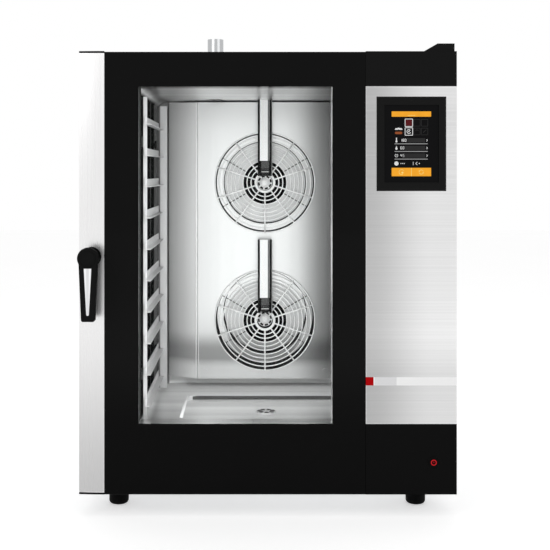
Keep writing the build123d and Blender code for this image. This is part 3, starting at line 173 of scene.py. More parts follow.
def flat_ring(outer, inner, place, thick):
    """Washer facing the front: a square section, with its front face at the place's depth."""
    return turned([(inner, 0), (outer, 0), (outer, thick), (inner, thick)], place)


def torus(radius, wire, place, segments=80, sides=8):
    """Wire ring facing the front: centre line of the given radius in X-Z, round section of radius wire."""
    t = np.linspace(0, TURN, segments, endpoint=False)[:, None]
    s = np.linspace(0, TURN, sides, endpoint=False)[None, :]
    reach = radius + wire * np.cos(s)
    points = np.stack([reach * np.cos(t), wire * np.sin(s) + 0 * t, reach * np.sin(t)], axis=-1)
    return points.reshape(-1, 3) + np.array(place), grid_faces(segments, sides, True, True)


def tube(path, radius, sides=8, flat=None):
    """Wire along a list of points: round, or with `flat` an ellipse that much as high as wide.

    Each section is cos s times a side direction plus sin s times an upward one, square to the path, and the
    ends are closed flat. A flat wire's path lies in a horizontal plane."""
    path = np.array(path, float)
    along = np.gradient(path, axis=0)
    along /= np.linalg.norm(along, axis=1)[:, None]
    helper = np.eye(3)[2 if flat else int(abs(along[0][1]) < 0.9)]
    side = np.cross(along, helper)
    side /= np.linalg.norm(side, axis=1)[:, None]
    up = np.cross(side, along) * (flat or 1.0)
    s = np.linspace(0, TURN, sides, endpoint=False)[:, None]
    points = path[:, None, :] + radius * (np.cos(s) * side[:, None, :] + np.sin(s) * up[:, None, :])
    return points.reshape(-1, 3), [face[::-1] for face in closed_faces(len(path), sides)]


def soft_box(lo, hi, edge):
    """Box whose edges are cut back by a small chamfer: its corner i is the three points 3i to 3i + 2.

    Bit k of i says on which side of axis k the corner lies; point 3i + k moves in along the other axes."""
    bits = np.array([[(i >> k) & 1 for k in range(3)] for i in range(8)])[:, None, :]
    points = np.where(bits, hi, lo) + edge * (1 - 2 * bits) * (1 - np.eye(3))
    faces = [(3 * i, 3 * i + 1, 3 * i + 2) for i in range(8)]
    for axis in range(3):
        a, b = (k for k in range(3) if k != axis)
        across, up, through = 1 << a, 1 << b, 1 << axis
        for side in (0, through):
            faces.append([3 * (i + side) + axis for i in (0, across, across + up, up)])
        for i in (0, across, up, across + up):
            one, two = 3 * i, 3 * (i + through)
            faces.append([one + a, two + a, two + b, one + b])
    return points.reshape(-1, 3), faces


def cavity_plate(name, x, z, face, thick, finish):
    """Small flat piece in the cavity: it stands out from the depth `face` by `thick`."""
    edge = min(thick, 0.0006) * 0.45
    add_mesh(name, soft_box((x[0], face - thick, z[0]), (x[1], face, z[1]), edge), finish, smooth=False)


def prism(outline, front, back):
    """Solid between two depths with an (x, z) outline that runs anticlockwise seen from the front."""
    count = len(outline)
    across = np.tile(outline, (2, 1))
    points = np.stack([across[:, 0], np.repeat([front, back], count), across[:, 1]], axis=1)
    i = np.arange(count)
    j = (i + 1) % count
    return points, [i, i[::-1] + count, *np.stack([i, i + count, j + count, j], axis=1)]


def disc(radius, middle, start=0.0, end=TURN, count=32):
    """Points of a circle, or of the part of it between two angles, which a straight line then closes."""
    t = np.linspace(start, end, count, endpoint=abs(end - start) < TURN)
    return np.stack([middle[0] + radius * np.cos(t), middle[1] + radius * np.sin(t)], axis=1)


def rounded(x, z, corner, steps=6):
    """Rectangle whose corners are quarter circles."""
    middles = [(x[1] - corner, z[0] + corner), (x[1] - corner, z[1] - corner),
               (x[0] + corner, z[1] - corner), (x[0] + corner, z[0] + corner)]
    quarter = TURN / 4
    return np.concatenate([disc(corner, middle, quarter * (i - 1), quarter * i, steps)
                           for i, middle in enumerate(middles)])


def sectors(middle, radii, count, share):
    """Parts of a flat ring between two radii, `count` round the turn, each `share` of its pitch long."""
    inner, outer = radii
    pitch = TURN / count
    turns = [(pitch * i, pitch * (i + share)) for i in range(count)]
    return [np.concatenate([disc(outer, middle, a, b, 8), disc(inner, middle, b, a, 8)]) for a, b in turns]


def bar(start, end, width):
    """Straight stroke between two (x, z) points."""
    start, end = np.array(start, float), np.array(end, float)
    along = (end - start) / np.linalg.norm(end - start)
    side = np.array([along[1], -along[0]]) * width / 2
    return np.array([start + side, end + side, end - side, start - side])


def framed_plate(outer, hole, front, back, bevel=0.0):
    """Plate with a rectangular hole: a rectangle carried along a closed profile of five points.

    Each point is (share, inset, depth): its rectangle lies at that share of the way from the outer outline
    to the hole's, moved in by the inset, at that depth. An outline is (x0, x1, z0, z1)."""
    profile = [(0, 0, back), (0, 0, front + bevel), (0, bevel, front), (1, 0, front), (1, 0, back)]
    share, inset, depth = (column[:, None] for column in np.array(profile, float).T)
    sides = np.array(outer) * (1 - share) + np.array(hole) * share + inset * np.array([1, -1, 1, -1])
    x, z = sides[:, [0, 1, 1, 0]], sides[:, [2, 2, 3, 3]]
    points = np.stack([x, depth + 0 * x, z], axis=-1).reshape(-1, 3)
    return points, grid_faces(len(profile), 4, True, True)


def crescent_ring(middle, front, back, radius, thin, thick, segments=96):
    """Flat ring whose width grows from `thin` at the top to `thick` at the bottom.

    At turn t it runs from r - w(t) to r, with w = thin + (thick - thin) ((1 - sin t) / 2)^2."""
    t = np.linspace(0, TURN, segments, endpoint=False)
    inner = radius - thin - (thick - thin) * ((1 - np.sin(t)) / 2) ** 2
    outer = radius + 0 * t
    reach = np.stack([inner, outer, outer, inner])
    depth = np.array([front, front, back, back])[:, None] + 0 * t
    points = np.stack([middle[0] + reach * np.cos(t), depth, middle[2] + reach * np.sin(t)], axis=-1)
    return points.reshape(-1, 3), grid_faces(4, segments, True, True)


# ---- shader boards ---------------------------------------------------------------------------------
def even(value):
    """The same value along each axis, or a neutral colour."""
    return (value, value, value)


class Board:
    """Short way to place and join shader nodes in one tree."""

    def __init__(self, tree):
        self.tree = tree
        self.column = 0

    def feed(self, socket, value):
        """Link an output, or write a constant; a colour gets its alpha here."""
        if isinstance(value, bpy.types.NodeSocket):
            self.tree.links.new(value, socket)
        else:
            socket.default_value = (*value, 1.0) if socket.type == "RGBA" else value

    def feed_all(self, node, inputs):
        """Feed inputs by name, where a name's spaces are written as underscores."""
        for key, value in inputs.items():
            self.feed(node.inputs[key.replace("_", " ")], value)

    def node(self, kind, *first, **named):
        """New node: `first` fills its inputs in order, a capital name is an input, a small one a setting."""
        made = self.tree.nodes.new("ShaderNode" + kind)
        self.column += 1
        made.location = (self.column * 190 - 1500, 0)
        for key in [key for key in named if key[0].islower()]:
            setattr(made, key, named.pop(key))
        for socket, value in zip(made.inputs, first):
            self.feed(socket, value)
        self.feed_all(made, named)
        return made

    def group(self, name, **inputs):
        return self.node("Group", node_tree=bpy.data.node_groups[name], **inputs).outputs

    def math(self, operation, value, *others, clamp=False):
        """Value joined by an operation with each of the others in turn."""
        for other in others or (0.0,):
            value = self.node("Math", value, other, operation=operation, use_clamp=clamp).outputs[0]
        return value

    def vector(self, operation, a, *b, **named):
        return self.node("VectorMath", a, *b, operation=operation, **named).outputs[0]

    def tinted(self, colour, tone):
        """Colour made lighter or darker by a tone about 1."""
        return self.vector("SCALE", colour, Scale=tone)

    def ramp(self, value, span, tones=(0.0, 1.0), shape="LINEAR"):
        """One tone before a span of values, another after it, and an even change between."""
        return self.node("MapRange", value, *span, *tones, interpolation_type=shape).outputs[0]

    def fade(self, value, span, tones=(0.0, 1.0)):
        """As a ramp, but with a soft start and end."""
        return self.ramp(value, span, tones, "SMOOTHSTEP")

    def choose(self, mask, without, within):
        """Tone that is the first where the mask is 0 and the second where it is 1."""
        return self.ramp(mask, (0.0, 1.0), (without, within))

    def mix(self, factor, a, b):
        made = self.node("Mix", factor, data_type="RGBA")
        self.feed(made.inputs[6], a)
        self.feed(made.inputs[7], b)
        return made.outputs[2]

    def noise(self, vector, scale, detail=2.0, roughness=0.5):
        made = self.node("TexNoise", Vector=vector, Scale=scale, Detail=detail, Roughness=roughness)
        return made.outputs["Fac"]

    def scaled(self, value, depth, middle=0.0):
        """A value times a depth, and moved to a middle."""
        return self.math("ADD", self.math("MULTIPLY", value, depth), middle)

    def bump(self, strength, distance, height):
        return self.node("Bump", Strength=strength, Distance=distance, Height=height).outputs[0]

    def place(self):
        """The object's own place."""
        return self.node("TexCoord").outputs["Object"]

    def axes(self):
        """X, Y and Z of the object's own place."""
        return self.node("SeparateXYZ", self.place()).outputs

    def off(self, value, middle=0.0):
        """Distance of a value from a middle."""
        return self.math("ABSOLUTE", self.math("SUBTRACT", value, middle) if middle else value)

    def seen_by(self, *rays):
        """1 for any of these kinds of ray, else 0."""
        path = self.node("LightPath").outputs
        masks = [path[f"Is {ray} Ray"] for ray in rays]
        return self.math("MAXIMUM", *masks) if len(masks) > 1 else masks[0]


class Finish(Board):
    """Board of a new material, whose one Principled BSDF `fill` sets."""

    def __init__(self, name):
        self.material = bpy.data.materials.new(name)
        self.material.use_nodes = True
        super().__init__(self.material.node_tree)
        self.shader = self.tree.nodes["Principled BSDF"]

    def fill(self, **inputs):
        self.feed_all(self.shader, inputs)
        return self.material


# ---- node groups shared by the finishes ------------------------------------------------------------
def start_group(name, outputs, **inputs):
    """Empty node group: the names of its outputs, and its inputs with the values they start from."""
    tree = bpy.data.node_groups.new(name, "ShaderNodeTree")
    for label, value in inputs.items():
        kind = "NodeSocketVector" if isinstance(value, tuple) else "NodeSocketFloat"
        socket = tree.interface.new_socket(label.replace("_", " "), in_out="INPUT", socket_type=kind)
        socket.default_value = value
    for label in outputs:
        kind = "NodeSocketVector" if label == "Normal" else "NodeSocketFloat"
        tree.interface.new_socket(label, in_out="OUTPUT", socket_type=kind)
    return Board(tree), tree.nodes.new("NodeGroupInput").outputs, tree.nodes.new("NodeGroupOutput").inputs


def brushed_grain_group():
    """Long fine scratches: noise squeezed across the brushing, as a tone, a roughness and a normal."""
    board, given, out = start_group("brushed grain", ("Tone", "Rough", "Normal"), Squeeze=(2.0, 2.0, 900.0),
                                    Tone_Depth=0.12, Roughness=0.3, Roughness_Depth=0.12, Relief=0.05)
    place = board.place()
    squeezed = board.vector("MULTIPLY", place, given["Squeeze"])
    fine = board.noise(squeezed, 1.0, 5.0, 0.7)
    streaks = board.noise(board.vector("SCALE", squeezed, Scale=0.24), 1.0, 3.0, 0.6)
    wide = board.noise(place, 3.0)
    centred = board.math("ADD", board.math("SUBTRACT", fine, 0.5), board.math("SUBTRACT", streaks, 0.5))
    cloudy = board.math("MULTIPLY", board.math("SUBTRACT", wide, 0.5), 0.5)
    both = board.math("ADD", centred, cloudy)
    board.feed(out["Tone"], board.scaled(both, given["Tone Depth"], 1.0))
    board.feed(out["Rough"], board.scaled(both, given["Roughness Depth"], given["Roughness"]))
    board.feed(out["Normal"], board.bump(given["Relief"], 0.0004, fine))


def painted_edge_highlight_group():
    """Painted edge highlight: 1 within a ragged width of the edges of a box given by its middle and half
    size.
    """
    board, given, out = start_group("painted edge highlight", ("Mask",), Middle=even(0.0), Half_Size=even(1.0),
                                    Width=0.002)
    place = board.place()
    folded = board.vector("ABSOLUTE", board.vector("SUBTRACT", place, given["Middle"]))
    inside = board.vector("SUBTRACT", given["Half Size"], folded)
    x, y, z = board.node("SeparateXYZ", inside).outputs
    pairs = [board.math("MAXIMUM", a, b) for a, b in ((x, y), (y, z), (x, z))]
    nearest = board.math("MINIMUM", *pairs)
    ragged = board.math("MULTIPLY", board.noise(place, 220.0, 4.0), 2.0, given["Width"])
    share = board.math("DIVIDE", nearest, board.math("ADD", ragged, 0.00001))
    board.feed(out["Mask"], board.math("SUBTRACT", 1.0, share, clamp=True))


def handled_gloss_group():
    """Polish with faint smears and dust: a roughness and a dust mask."""
    board, given, out = start_group("handled gloss", ("Rough", "Dust"), Polish=0.05, Smear=0.06, Dust=0.02)
    place = board.place()
    smears = board.ramp(board.noise(place, 7.0, 6.0, 0.65), (0.45, 0.75))
    board.feed(out["Rough"], board.scaled(smears, given["Smear"], given["Polish"]))
    specks = board.ramp(board.noise(place, 900.0), (0.68, 0.8))
    board.feed(out["Dust"], board.math("MULTIPLY", specks, given["Dust"]))


def moulded_skin_group():
    """Fine spark-eroded skin of a moulded part: a roughness and a normal."""
    board, given, out = start_group("moulded skin", ("Rough", "Normal"), Cell=1400.0, Roughness=0.4,
                                    Relief=0.15)
    place = board.place()
    wide = board.math("SUBTRACT", board.noise(place, 40.0, 3.0), 0.5)
    board.feed(out["Rough"], board.scaled(wide, 0.18, given["Roughness"]))
    board.feed(out["Normal"], board.bump(given["Relief"], 0.0002, board.noise(place, given["Cell"])))


# ---- kinds of finish -------------------------------------------------------------------------------
EDGE_HIGHLIGHT_WIDTH = 0.0022        # width of the painted edge highlights
EDGE_HIGHLIGHT_SHARE = 0.5          # how far a painted edge highlight turns bright
DUST = (0.5, 0.5, 0.48)
STRIPE_END = (0.46, 0.0015, 0.003)
STRIPE_FIELDS = {0.0190: even(0.97), 0.0212: (0.80, 0.80, 0.81), 0.0755: even(0.98)}   # by where each starts


def grained(finish, shade, grain, **inputs):
    """Fill a finish with a shade, the roughness and normal of a grain or a skin, and other inputs."""
    return finish.fill(Base_Color=shade, Roughness=grain["Rough"], Normal=grain["Normal"], **inputs)


def brushed_steel(name, colour, squeeze, roughness=0.34, depth=0.05, relief=0.02, edges_of=None,
                  tone_by_place=None, metallic=1.0, **inputs):
    """Brushed stainless steel; edges_of names the CAD node whose box edges get a painted highlight.

    tone_by_place takes the finish and gives a tone that changes over the piece, and metallic may be such a
    function too. The other inputs go to the shader."""
    finish = Finish(name)
    grain = finish.group("brushed grain", Squeeze=squeeze, Tone_Depth=depth, Roughness=roughness,
                         Relief=relief)
    tone = grain["Tone"]
    if tone_by_place:
        tone = finish.math("MULTIPLY", tone, tone_by_place(finish))
    shade = finish.tinted(colour, tone)
    if edges_of:
        # painted highlight along the edges of the node's box
        half = size(edges_of) / 2
        edge = finish.group("painted edge highlight", Middle=centre(edges_of), Half_Size=half, Width=EDGE_HIGHLIGHT_WIDTH)
        shade = finish.mix(finish.math("MULTIPLY", edge["Mask"], EDGE_HIGHLIGHT_SHARE), shade, even(0.97))
    metal = metallic(finish) if callable(metallic) else metallic
    return grained(finish, shade, grain, Metallic=metal, **inputs)


def gloss(name, colour, polish, smear, dust, specular, tone_by_place=None):
    """Polished black glass or enamel."""
    finish = Finish(name)
    surface = finish.group("handled gloss", Polish=polish, Smear=smear, Dust=dust)
    shade = finish.tinted(colour, tone_by_place(finish)) if tone_by_place else colour
    return finish.fill(Base_Color=finish.mix(surface["Dust"], shade, DUST), Roughness=surface["Rough"],
                       Specular_IOR_Level=specular)


def moulded(name, colour, roughness=0.4, relief=0.15, cell=1400.0, specular=0.5):
    """Moulded plastic or rubber with a fine skin and a little dust."""
    finish = Finish(name)
    skin = finish.group("moulded skin", Cell=cell, Roughness=roughness, Relief=relief)
    worn = finish.group("handled gloss", Polish=0.0, Smear=0.5, Dust=0.03)
    return grained(finish, finish.mix(worn["Dust"], colour, even(0.4)), skin, Specular_IOR_Level=specular)


def lit(name, colour, strength):
    """Lit or printed graphic behind the screen's glass, with a faint unevenness."""
    finish = Finish(name)
    uneven = finish.ramp(finish.noise(finish.place(), 60.0), (0.3, 0.7), (0.94, 1.04))
    return finish.fill(Base_Color=even(0.004), Emission_Color=finish.tinted(colour, uneven),
                       Emission_Strength=strength, Roughness=0.35, Specular_IOR_Level=0.1)


def clear_glass():
    """Toughened glass that lets shadow rays pass, so that the cavity is lit through it."""
    finish = Finish("clear glass")
    surface = finish.group("handled gloss", Polish=0.0, Smear=0.012, Dust=0.0)
    finish.fill(Base_Color=(0.985, 0.992, 0.99), Roughness=surface["Rough"], Transmission_Weight=1.0,
                IOR=1.08, Specular_IOR_Level=0.1)
    through = finish.node("BsdfTransparent", Color=(0.97, 0.975, 0.975)).outputs[0]
    blend = finish.node("MixShader", finish.seen_by("Shadow"), finish.shader.outputs[0], through).outputs[0]
    finish.feed(finish.tree.nodes["Material Output"].inputs["Surface"], blend)
    return finish.material


def stripe_film():
    """Printed film: a red end, a light grey length and a near white rest, set off by a thin white line."""
    finish = Finish("stripe film")
    along = finish.math("SUBTRACT", finish.axes()[0], low("stripe_label")[0])
    shade = STRIPE_END
    for start, field in STRIPE_FIELDS.items():
        shade = finish.mix(finish.math("GREATER_THAN", along, start), shade, field)
    skin = finish.group("moulded skin", Cell=900.0, Roughness=0.42, Relief=0.05)
    return grained(finish, shade, skin, Specular_IOR_Level=0.06, Metallic=0.4)


# ---- tones that change over a piece: mostly painted light and shade --------------------------------
STRIP_FADE = 0.55         # share of the side strip's height over which the painted grey shade at its foot fades out
PANEL_FADE = 0.75         # share of the panel's width over which the painted grey shade of its side fades out
STRIPE_FADE = 0.14        # height above the stripe over which the panel's painted grey shade fades out
WALL_NEAR = (0.010, 0.003)            # from the side walls' outer face: where their painted black shade starts and is full
FLOOR_NEAR = (0.012, 0.020)           # above the floor's underside: where its painted pale light fades out
# ROOF_NEAR and BACK_NEAR: below the roof and before the back wall, where painted shade starts and is full
ROOF_NEAR = (0.020, 0.004)
BACK_NEAR = (0.020, 0.010)
BAFFLE_RISE = (0.085, 0.150)          # above the baffle's foot: where each side of its painted dark band fades
BAFFLE_FALL = (0.030, 0.090)
# height above the baffle's foot over which the painted shade on a fan wheel's lower part fades out
WHEEL_SHADE_RISE = (0.110, 0.150)


def inward(far, near):
    """Span that lies at two distances before a far face."""
    return far - near[0], far - near[1]


def above(foot, heights):
    """Span that lies at two heights above a foot."""
    return foot + heights[0], foot + heights[1]


def strip_painted_shade(board):
    """Side strip: painted shade, soft grey towards its foot."""
    foot, height = low("side_strip")[2], size("side_strip")[2]
    return board.fade(board.axes()[2], (foot, foot + height * STRIP_FADE), (0.58, 1.0))


def panel_painted_shade(board):
    """Control panel: painted shade, greyer towards the glass and below its stripe."""
    near, width = low("control_panel")[0], size("control_panel")[0]
    stripe = low("stripe_label")[2]
    x, _, z = board.axes()
    beside_glass = board.fade(x, (near, near + width * PANEL_FADE), (0.64, 1.0))
    return board.math("MULTIPLY", beside_glass, board.fade(z, (stripe, stripe + STRIPE_FADE), (0.80, 1.0)))


def rear_corners(board):
    """Mask of the cavity's back wall on each side of the baffle."""
    x, y, _ = board.axes()
    beside = board.math("GREATER_THAN", board.off(x), BAFFLE_HIGH[0])
    return board.math("MULTIPLY", board.ramp(y, inward(LINER_HIGH[1], BACK_NEAR)), beside)


def cavity_painted_light_and_bands(board):
    """Cavity: painted shade makes the side walls black behind the racks, grey at the rear corner and the
    bead; banded elsewhere.

    The floor is painted paler; painted shade darkens the roof, the recess's rear step and the back wall's
    corners."""
    x, y, z = board.axes()
    side, floor, roof = LINER_HIGH[0], LINER_LOW[2], LINER_HIGH[2]
    step = RECESS[3]
    # painted shade: black side walls turning grey at the rear corner, and a painted grey highlight on the
    # bead
    rear = board.ramp(y, (REAR_CORNER - 0.006, REAR_CORNER + 0.006), (0.012, 0.22))
    bead = board.ramp(board.off(y, WALL_BEAD), (0.004, 0.007), (0.14, 0.0))
    along = board.node("CombineXYZ", Y=y).outputs[0]
    bands = board.ramp(board.noise(along, 14.0), (0.35, 0.65), (0.84, 1.05))
    wall = board.fade(board.off(x), inward(side, WALL_NEAR))
    # painted shade on the recess's rear step
    on_step = board.math("MULTIPLY", board.math("GREATER_THAN", y, step - 0.006),
                         board.math("LESS_THAN", y, step + 0.004), board.math("LESS_THAN", z, floor + 0.0112))
    return board.math(
        "MULTIPLY",
        board.choose(wall, bands, board.math("MAXIMUM", rear, bead)),
        # painted shade on the back wall's corners, the roof and the recess step; painted light on the floor
        board.choose(rear_corners(board), 1.0, 0.26),
        board.ramp(z, inward(roof, ROOF_NEAR), (1.0, 0.88)),
        board.ramp(z, above(floor, FLOOR_NEAR), (1.12, 1.0)),
        board.choose(on_step, 1.0, 0.12),
    )


def cavity_metal(board):
    """Cavity: mirror-like, but matt on the side walls, and duller on the floor towards the rear."""
    x, y, z = board.axes()
    side, foot = LINER_HIGH[0], LINER_LOW[2]
    wall = board.ramp(board.off(x), inward(side, WALL_NEAR), (1.0, 0.0))
    floor = board.ramp(y, (-0.16, 0.20), (0.80, 0.05))
    upper = board.ramp(z, above(foot, FLOOR_NEAR))
    back = board.math("SUBTRACT", 1.0, rear_corners(board))
    return board.math("MULTIPLY", wall, back, board.math("MAXIMUM", floor, upper))


def baffle_painted_light(board):
    """Baffle, in painted shade: darker to the right and at the head, a soft band above the foot, a dark fold,
    a fading left wing.
    """
    x, _, z = board.axes()
    base, head = BAFFLE_LOW[2], BAFFLE_HIGH[2]
    rise = board.fade(z, above(base, BAFFLE_RISE), (0.50, 1.0))
    fall = board.fade(z, above(base, BAFFLE_FALL), (1.0, 0.0))
    return board.math(
        "MULTIPLY",
        board.fade(x, (0.085, 0.20), (1.0, 0.46)),
        board.fade(z, (head - 0.09, head), (1.0, 0.88)),
        board.math("MAXIMUM", rise, fall),
        board.ramp(board.off(x, FOLD + 0.0008), (0.0014, 0.0024), (0.62, 1.0)),
        board.ramp(x, (BAFFLE_LOW[0], FOLD), (0.66, 1.34)),
    )


def baffle_metal(board):
    """Baffle: its left wing is a dull face that takes light rather than mirroring the dark wall."""
    return board.ramp(board.axes()[0], (FOLD - 0.001, FOLD + 0.001))


def rack_tone(board):
    """Rack: its rear post's outer half lies in the shade, and so do its hooks at the wall."""
    x, y, _ = board.axes()
    hooks = board.ramp(board.off(x), (RACK_HOOKS, RACK_HOOKS + 0.0006), (1.0, 0.04))
    rear = board.math("GREATER_THAN", y, high("left_rack")[1] - 0.030)
    outer = board.ramp(board.off(x), (RACK_SHADE - 0.002, RACK_SHADE + 0.002))
    return board.math("MULTIPLY", hooks, board.choose(board.math("MULTIPLY", rear, outer), 1.0, 0.16))


def inlay_painted_shade(board):
    """Silver inlay: painted shade, greyer along its middle than at its two long edges."""
    half = size("handle_inlay")[0] / 2
    off = board.off(board.axes()[0], centre("handle_inlay")[0])
    return board.fade(off, (half * 0.15, half * 0.6), (0.80, 1.0))


def spacer_metal(board):
    """Window spacer: matt on the handle side, bright elsewhere."""
    return board.ramp(board.axes()[0], (WINDOW[0] + 0.0002, WINDOW[0] + 0.001))


def spacer_tone(board):
    """Window spacer: its hinge side catches the light, and its foot a little."""
    x, _, z = board.axes()
    hinge_side = board.ramp(x, (WINDOW[1] - 0.001, WINDOW[1] - 0.0002), (0.07, 1.15))
    return board.math("ADD", hinge_side, board.ramp(z, (WINDOW[2] + 0.0002, WINDOW[2] + 0.001), (0.85, 0.0)))


def black_painted_shade(board):
    """Black glass and fascia: painted shade, deepest towards the foot of the door."""
    return board.fade(board.axes()[2], (0.20, 0.42), (0.12, 1.0))


WHEEL_RIM = 0.003         # depth of a fan wheel's bright front ring, behind which painted shade starts
CHANNEL_MOUTH = 0.0455    # height of an injector channel's open end, painted black as shade
CHANNEL_SHEET = 0.0016
CHANNEL_SIDES = (-0.0172, 0.0143)     # from the channel's middle: where its sides' painted black shade starts
# where the left hem's painted white highlight, the right bevel's painted dark shade and the pale right rim
# start
CHANNEL_HEM = -0.0120
CHANNEL_BEVEL = 0.0080
CHANNEL_RIM = 0.0196


def wheel_steel():
    """Wheel whose front ring is bright; painted shade darkens its blades, its inside and its lower part."""
    finish = Finish("wheel steel")
    _, y, z = finish.axes()
    # painted shade behind the front ring
    inside = finish.math("GREATER_THAN", y, low("upper_fan_wheel")[1] + WHEEL_RIM)
    grain = finish.group("brushed grain", Squeeze=even(80.0), Tone_Depth=0.1, Roughness=0.4, Relief=0.03)
    # painted shade over the wheel's lower part
    band = finish.fade(z, above(BAFFLE_LOW[2], WHEEL_SHADE_RISE), (0.60, 1.0))
    bright = finish.tinted(even(0.84), finish.math("MULTIPLY", grain["Tone"], band))
    return grained(finish, finish.mix(inside, bright, (0.012, 0.012, 0.013)), grain, Metallic=1.0)


def channel_steel(node):
    """Injector channel: pale face; painted highlight on the left hem, painted shade on the right bevel,
    sides, inside and mouth.
    """
    finish = Finish(node + " steel")
    x, y, z = finish.axes()
    off = finish.math("SUBTRACT", x, centre(node)[0])
    grain = finish.group("brushed grain", Squeeze=(900.0, 40.0, 4.0), Tone_Depth=0.06, Roughness=0.34,
                         Relief=0.03)
    # painted black shade on the channel's sides, inside and mouth
    black = finish.math(
        "MAXIMUM",
        finish.math("LESS_THAN", off, CHANNEL_SIDES[0]),
        finish.math("GREATER_THAN", off, CHANNEL_SIDES[1]),
        finish.math("GREATER_THAN", y, low(node)[1] + CHANNEL_SHEET),
        finish.math("LESS_THAN", z, low(node)[2] + CHANNEL_MOUTH),
    )
    layers = (
        (finish.math("LESS_THAN", off, CHANNEL_HEM), 0.98),
        (finish.math("GREATER_THAN", off, CHANNEL_BEVEL), 0.14),
        (black, 0.012),
        (finish.math("GREATER_THAN", off, CHANNEL_RIM), 0.95),
    )
    shade = finish.tinted(even(0.84), grain["Tone"])
    for mask, tone in layers:
        shade = finish.mix(mask, shade, even(tone))
    return grained(finish, shade, grain, Metallic=0.7)


# ---- camera, stage and light -----------------------------------------------------------------------
CAMERA_DISTANCE = 2.56
CAMERA_X = -0.039
CAMERA_HEIGHT = 0.850
FOCAL = 68.1
SHIFT_X = 0.0418
SHIFT_Y = -0.1890
FLOOR_HALF = 12.0
FLOOR_GLOW = 0.48
ROOM_LIGHT = 0.55
MIRRORED_LIGHT = 0.8
LAMP_SIDE = 2.4
LAMP_AIM = (0.0, 0.0, 0.6)
ROOM_LAMPS = {            # place and power of each lamp aimed at the whole oven
    "key lamp": ((-2.2, FRONT - 2.6, 2.3), 21),
    "fill lamp": ((2.6, FRONT - 2.0, 1.6), 12),
    "top lamp": ((0.0, 0.2, 3.4), 15),
}
CAVITY_LAMP = (-0.025, LINER_LOW[1] + 0.01, 0.651)
CAVITY_LAMP_SIZE = (0.40, 0.72)
CAVITY_LIGHT = 0.190
WINDOW_LIGHT = 3.0


def set_camera():
    data = bpy.data.cameras.new("camera")
    data.lens = FOCAL
    data.shift_x = SHIFT_X
    data.shift_y = SHIFT_Y
    camera = link("camera", data)
    camera.location = (CAMERA_X, FRONT - CAMERA_DISTANCE, CAMERA_HEIGHT)
    camera.rotation_euler = (TURN / 4, 0, 0)
    bpy.context.scene.camera = camera


def set_world():
    """Even pale light all round; what the camera sees directly, mirrored or through glass is white."""
    world = bpy.data.worlds.new("world")
    bpy.context.scene.world = world
    world.use_nodes = True
    board = Board(world.node_tree)
    background = world.node_tree.nodes["Background"].inputs
    mirrored = board.choose(board.seen_by("Glossy"), ROOM_LIGHT, MIRRORED_LIGHT)
    board.feed(background["Strength"], board.choose(board.seen_by("Camera", "Transmission"), mirrored, 1.0))
    board.feed(background["Color"], even(1.0))


def make_floor():
    """Plain white floor that keeps a soft shadow, and shows as white to the camera."""
    finish = Finish("floor")
    tone = finish.ramp(finish.noise(finish.place(), 2.0), (0.3, 0.7), (0.88, 0.9))
    glow = finish.math("MULTIPLY", finish.seen_by("Camera", "Glossy", "Transmission"), FLOOR_GLOW)
    finish.fill(Base_Color=finish.tinted(even(1.0), tone), Roughness=0.9, Specular_IOR_Level=0.1,
                Emission_Color=even(1.0), Emission_Strength=glow)
    mesh = bpy.data.meshes.new("floor")
    corners = [(x * FLOOR_HALF, y * FLOOR_HALF, 0) for x, y in ((-1, -1), (1, -1), (1, 1), (-1, 1))]
    mesh.from_pydata(corners, [], [(0, 1, 2, 3)])
    mesh.materials.append(finish.material)
    link("floor", mesh)


def area_light(name, place, towards, size, power):
    data = bpy.data.lights.new(name, "AREA")
    data.shape = "RECTANGLE"
    data.size, data.size_y = size
    data.energy = power
    light = link(name, data)
    light.location = place
    light.rotation_euler = Vector(towards).to_track_quat("-Z", "Y").to_euler()
    return light


def set_lamps():
    """Three soft lamps round the oven, one in the cavity's mouth, and a weak one over the whole window."""
    for name, (place, power) in ROOM_LAMPS.items():
        area_light(name, place, np.subtract(LAMP_AIM, place), (LAMP_SIDE, LAMP_SIDE), power)
    backwards = (0.0, 1.0, 0.0)
    area_light("cavity lamp", CAVITY_LAMP, backwards, CAVITY_LAMP_SIZE, CAVITY_LIGHT)
    x, z = (WINDOW[0] + WINDOW[1]) / 2, (WINDOW[2] + WINDOW[3]) / 2
    place = (x, high("inner_glass")[1] + 0.003, z)
    size = (WINDOW[1] - WINDOW[0], WINDOW[3] - WINDOW[2])
    area_light("window lamp", place, backwards, size, WINDOW_LIGHT).visible_glossy = False


# ---- finishes of the CAD nodes ---------------------------------------------------------------------
ACROSS = (1.5, 40.0, 900.0)         # how much the grain is squeezed along each axis
UPRIGHT = (900.0, 40.0, 1.5)
BACK_TO_FRONT = (900.0, 1.5, 900.0)
FOLDED = (60.0, 60.0, 400.0)
CASING = (0.66, 0.67, 0.68)


def dress(finish, *nodes):
    for node in nodes:
        data = NODES[node].data
        data.materials.clear()
        data.materials.append(finish)


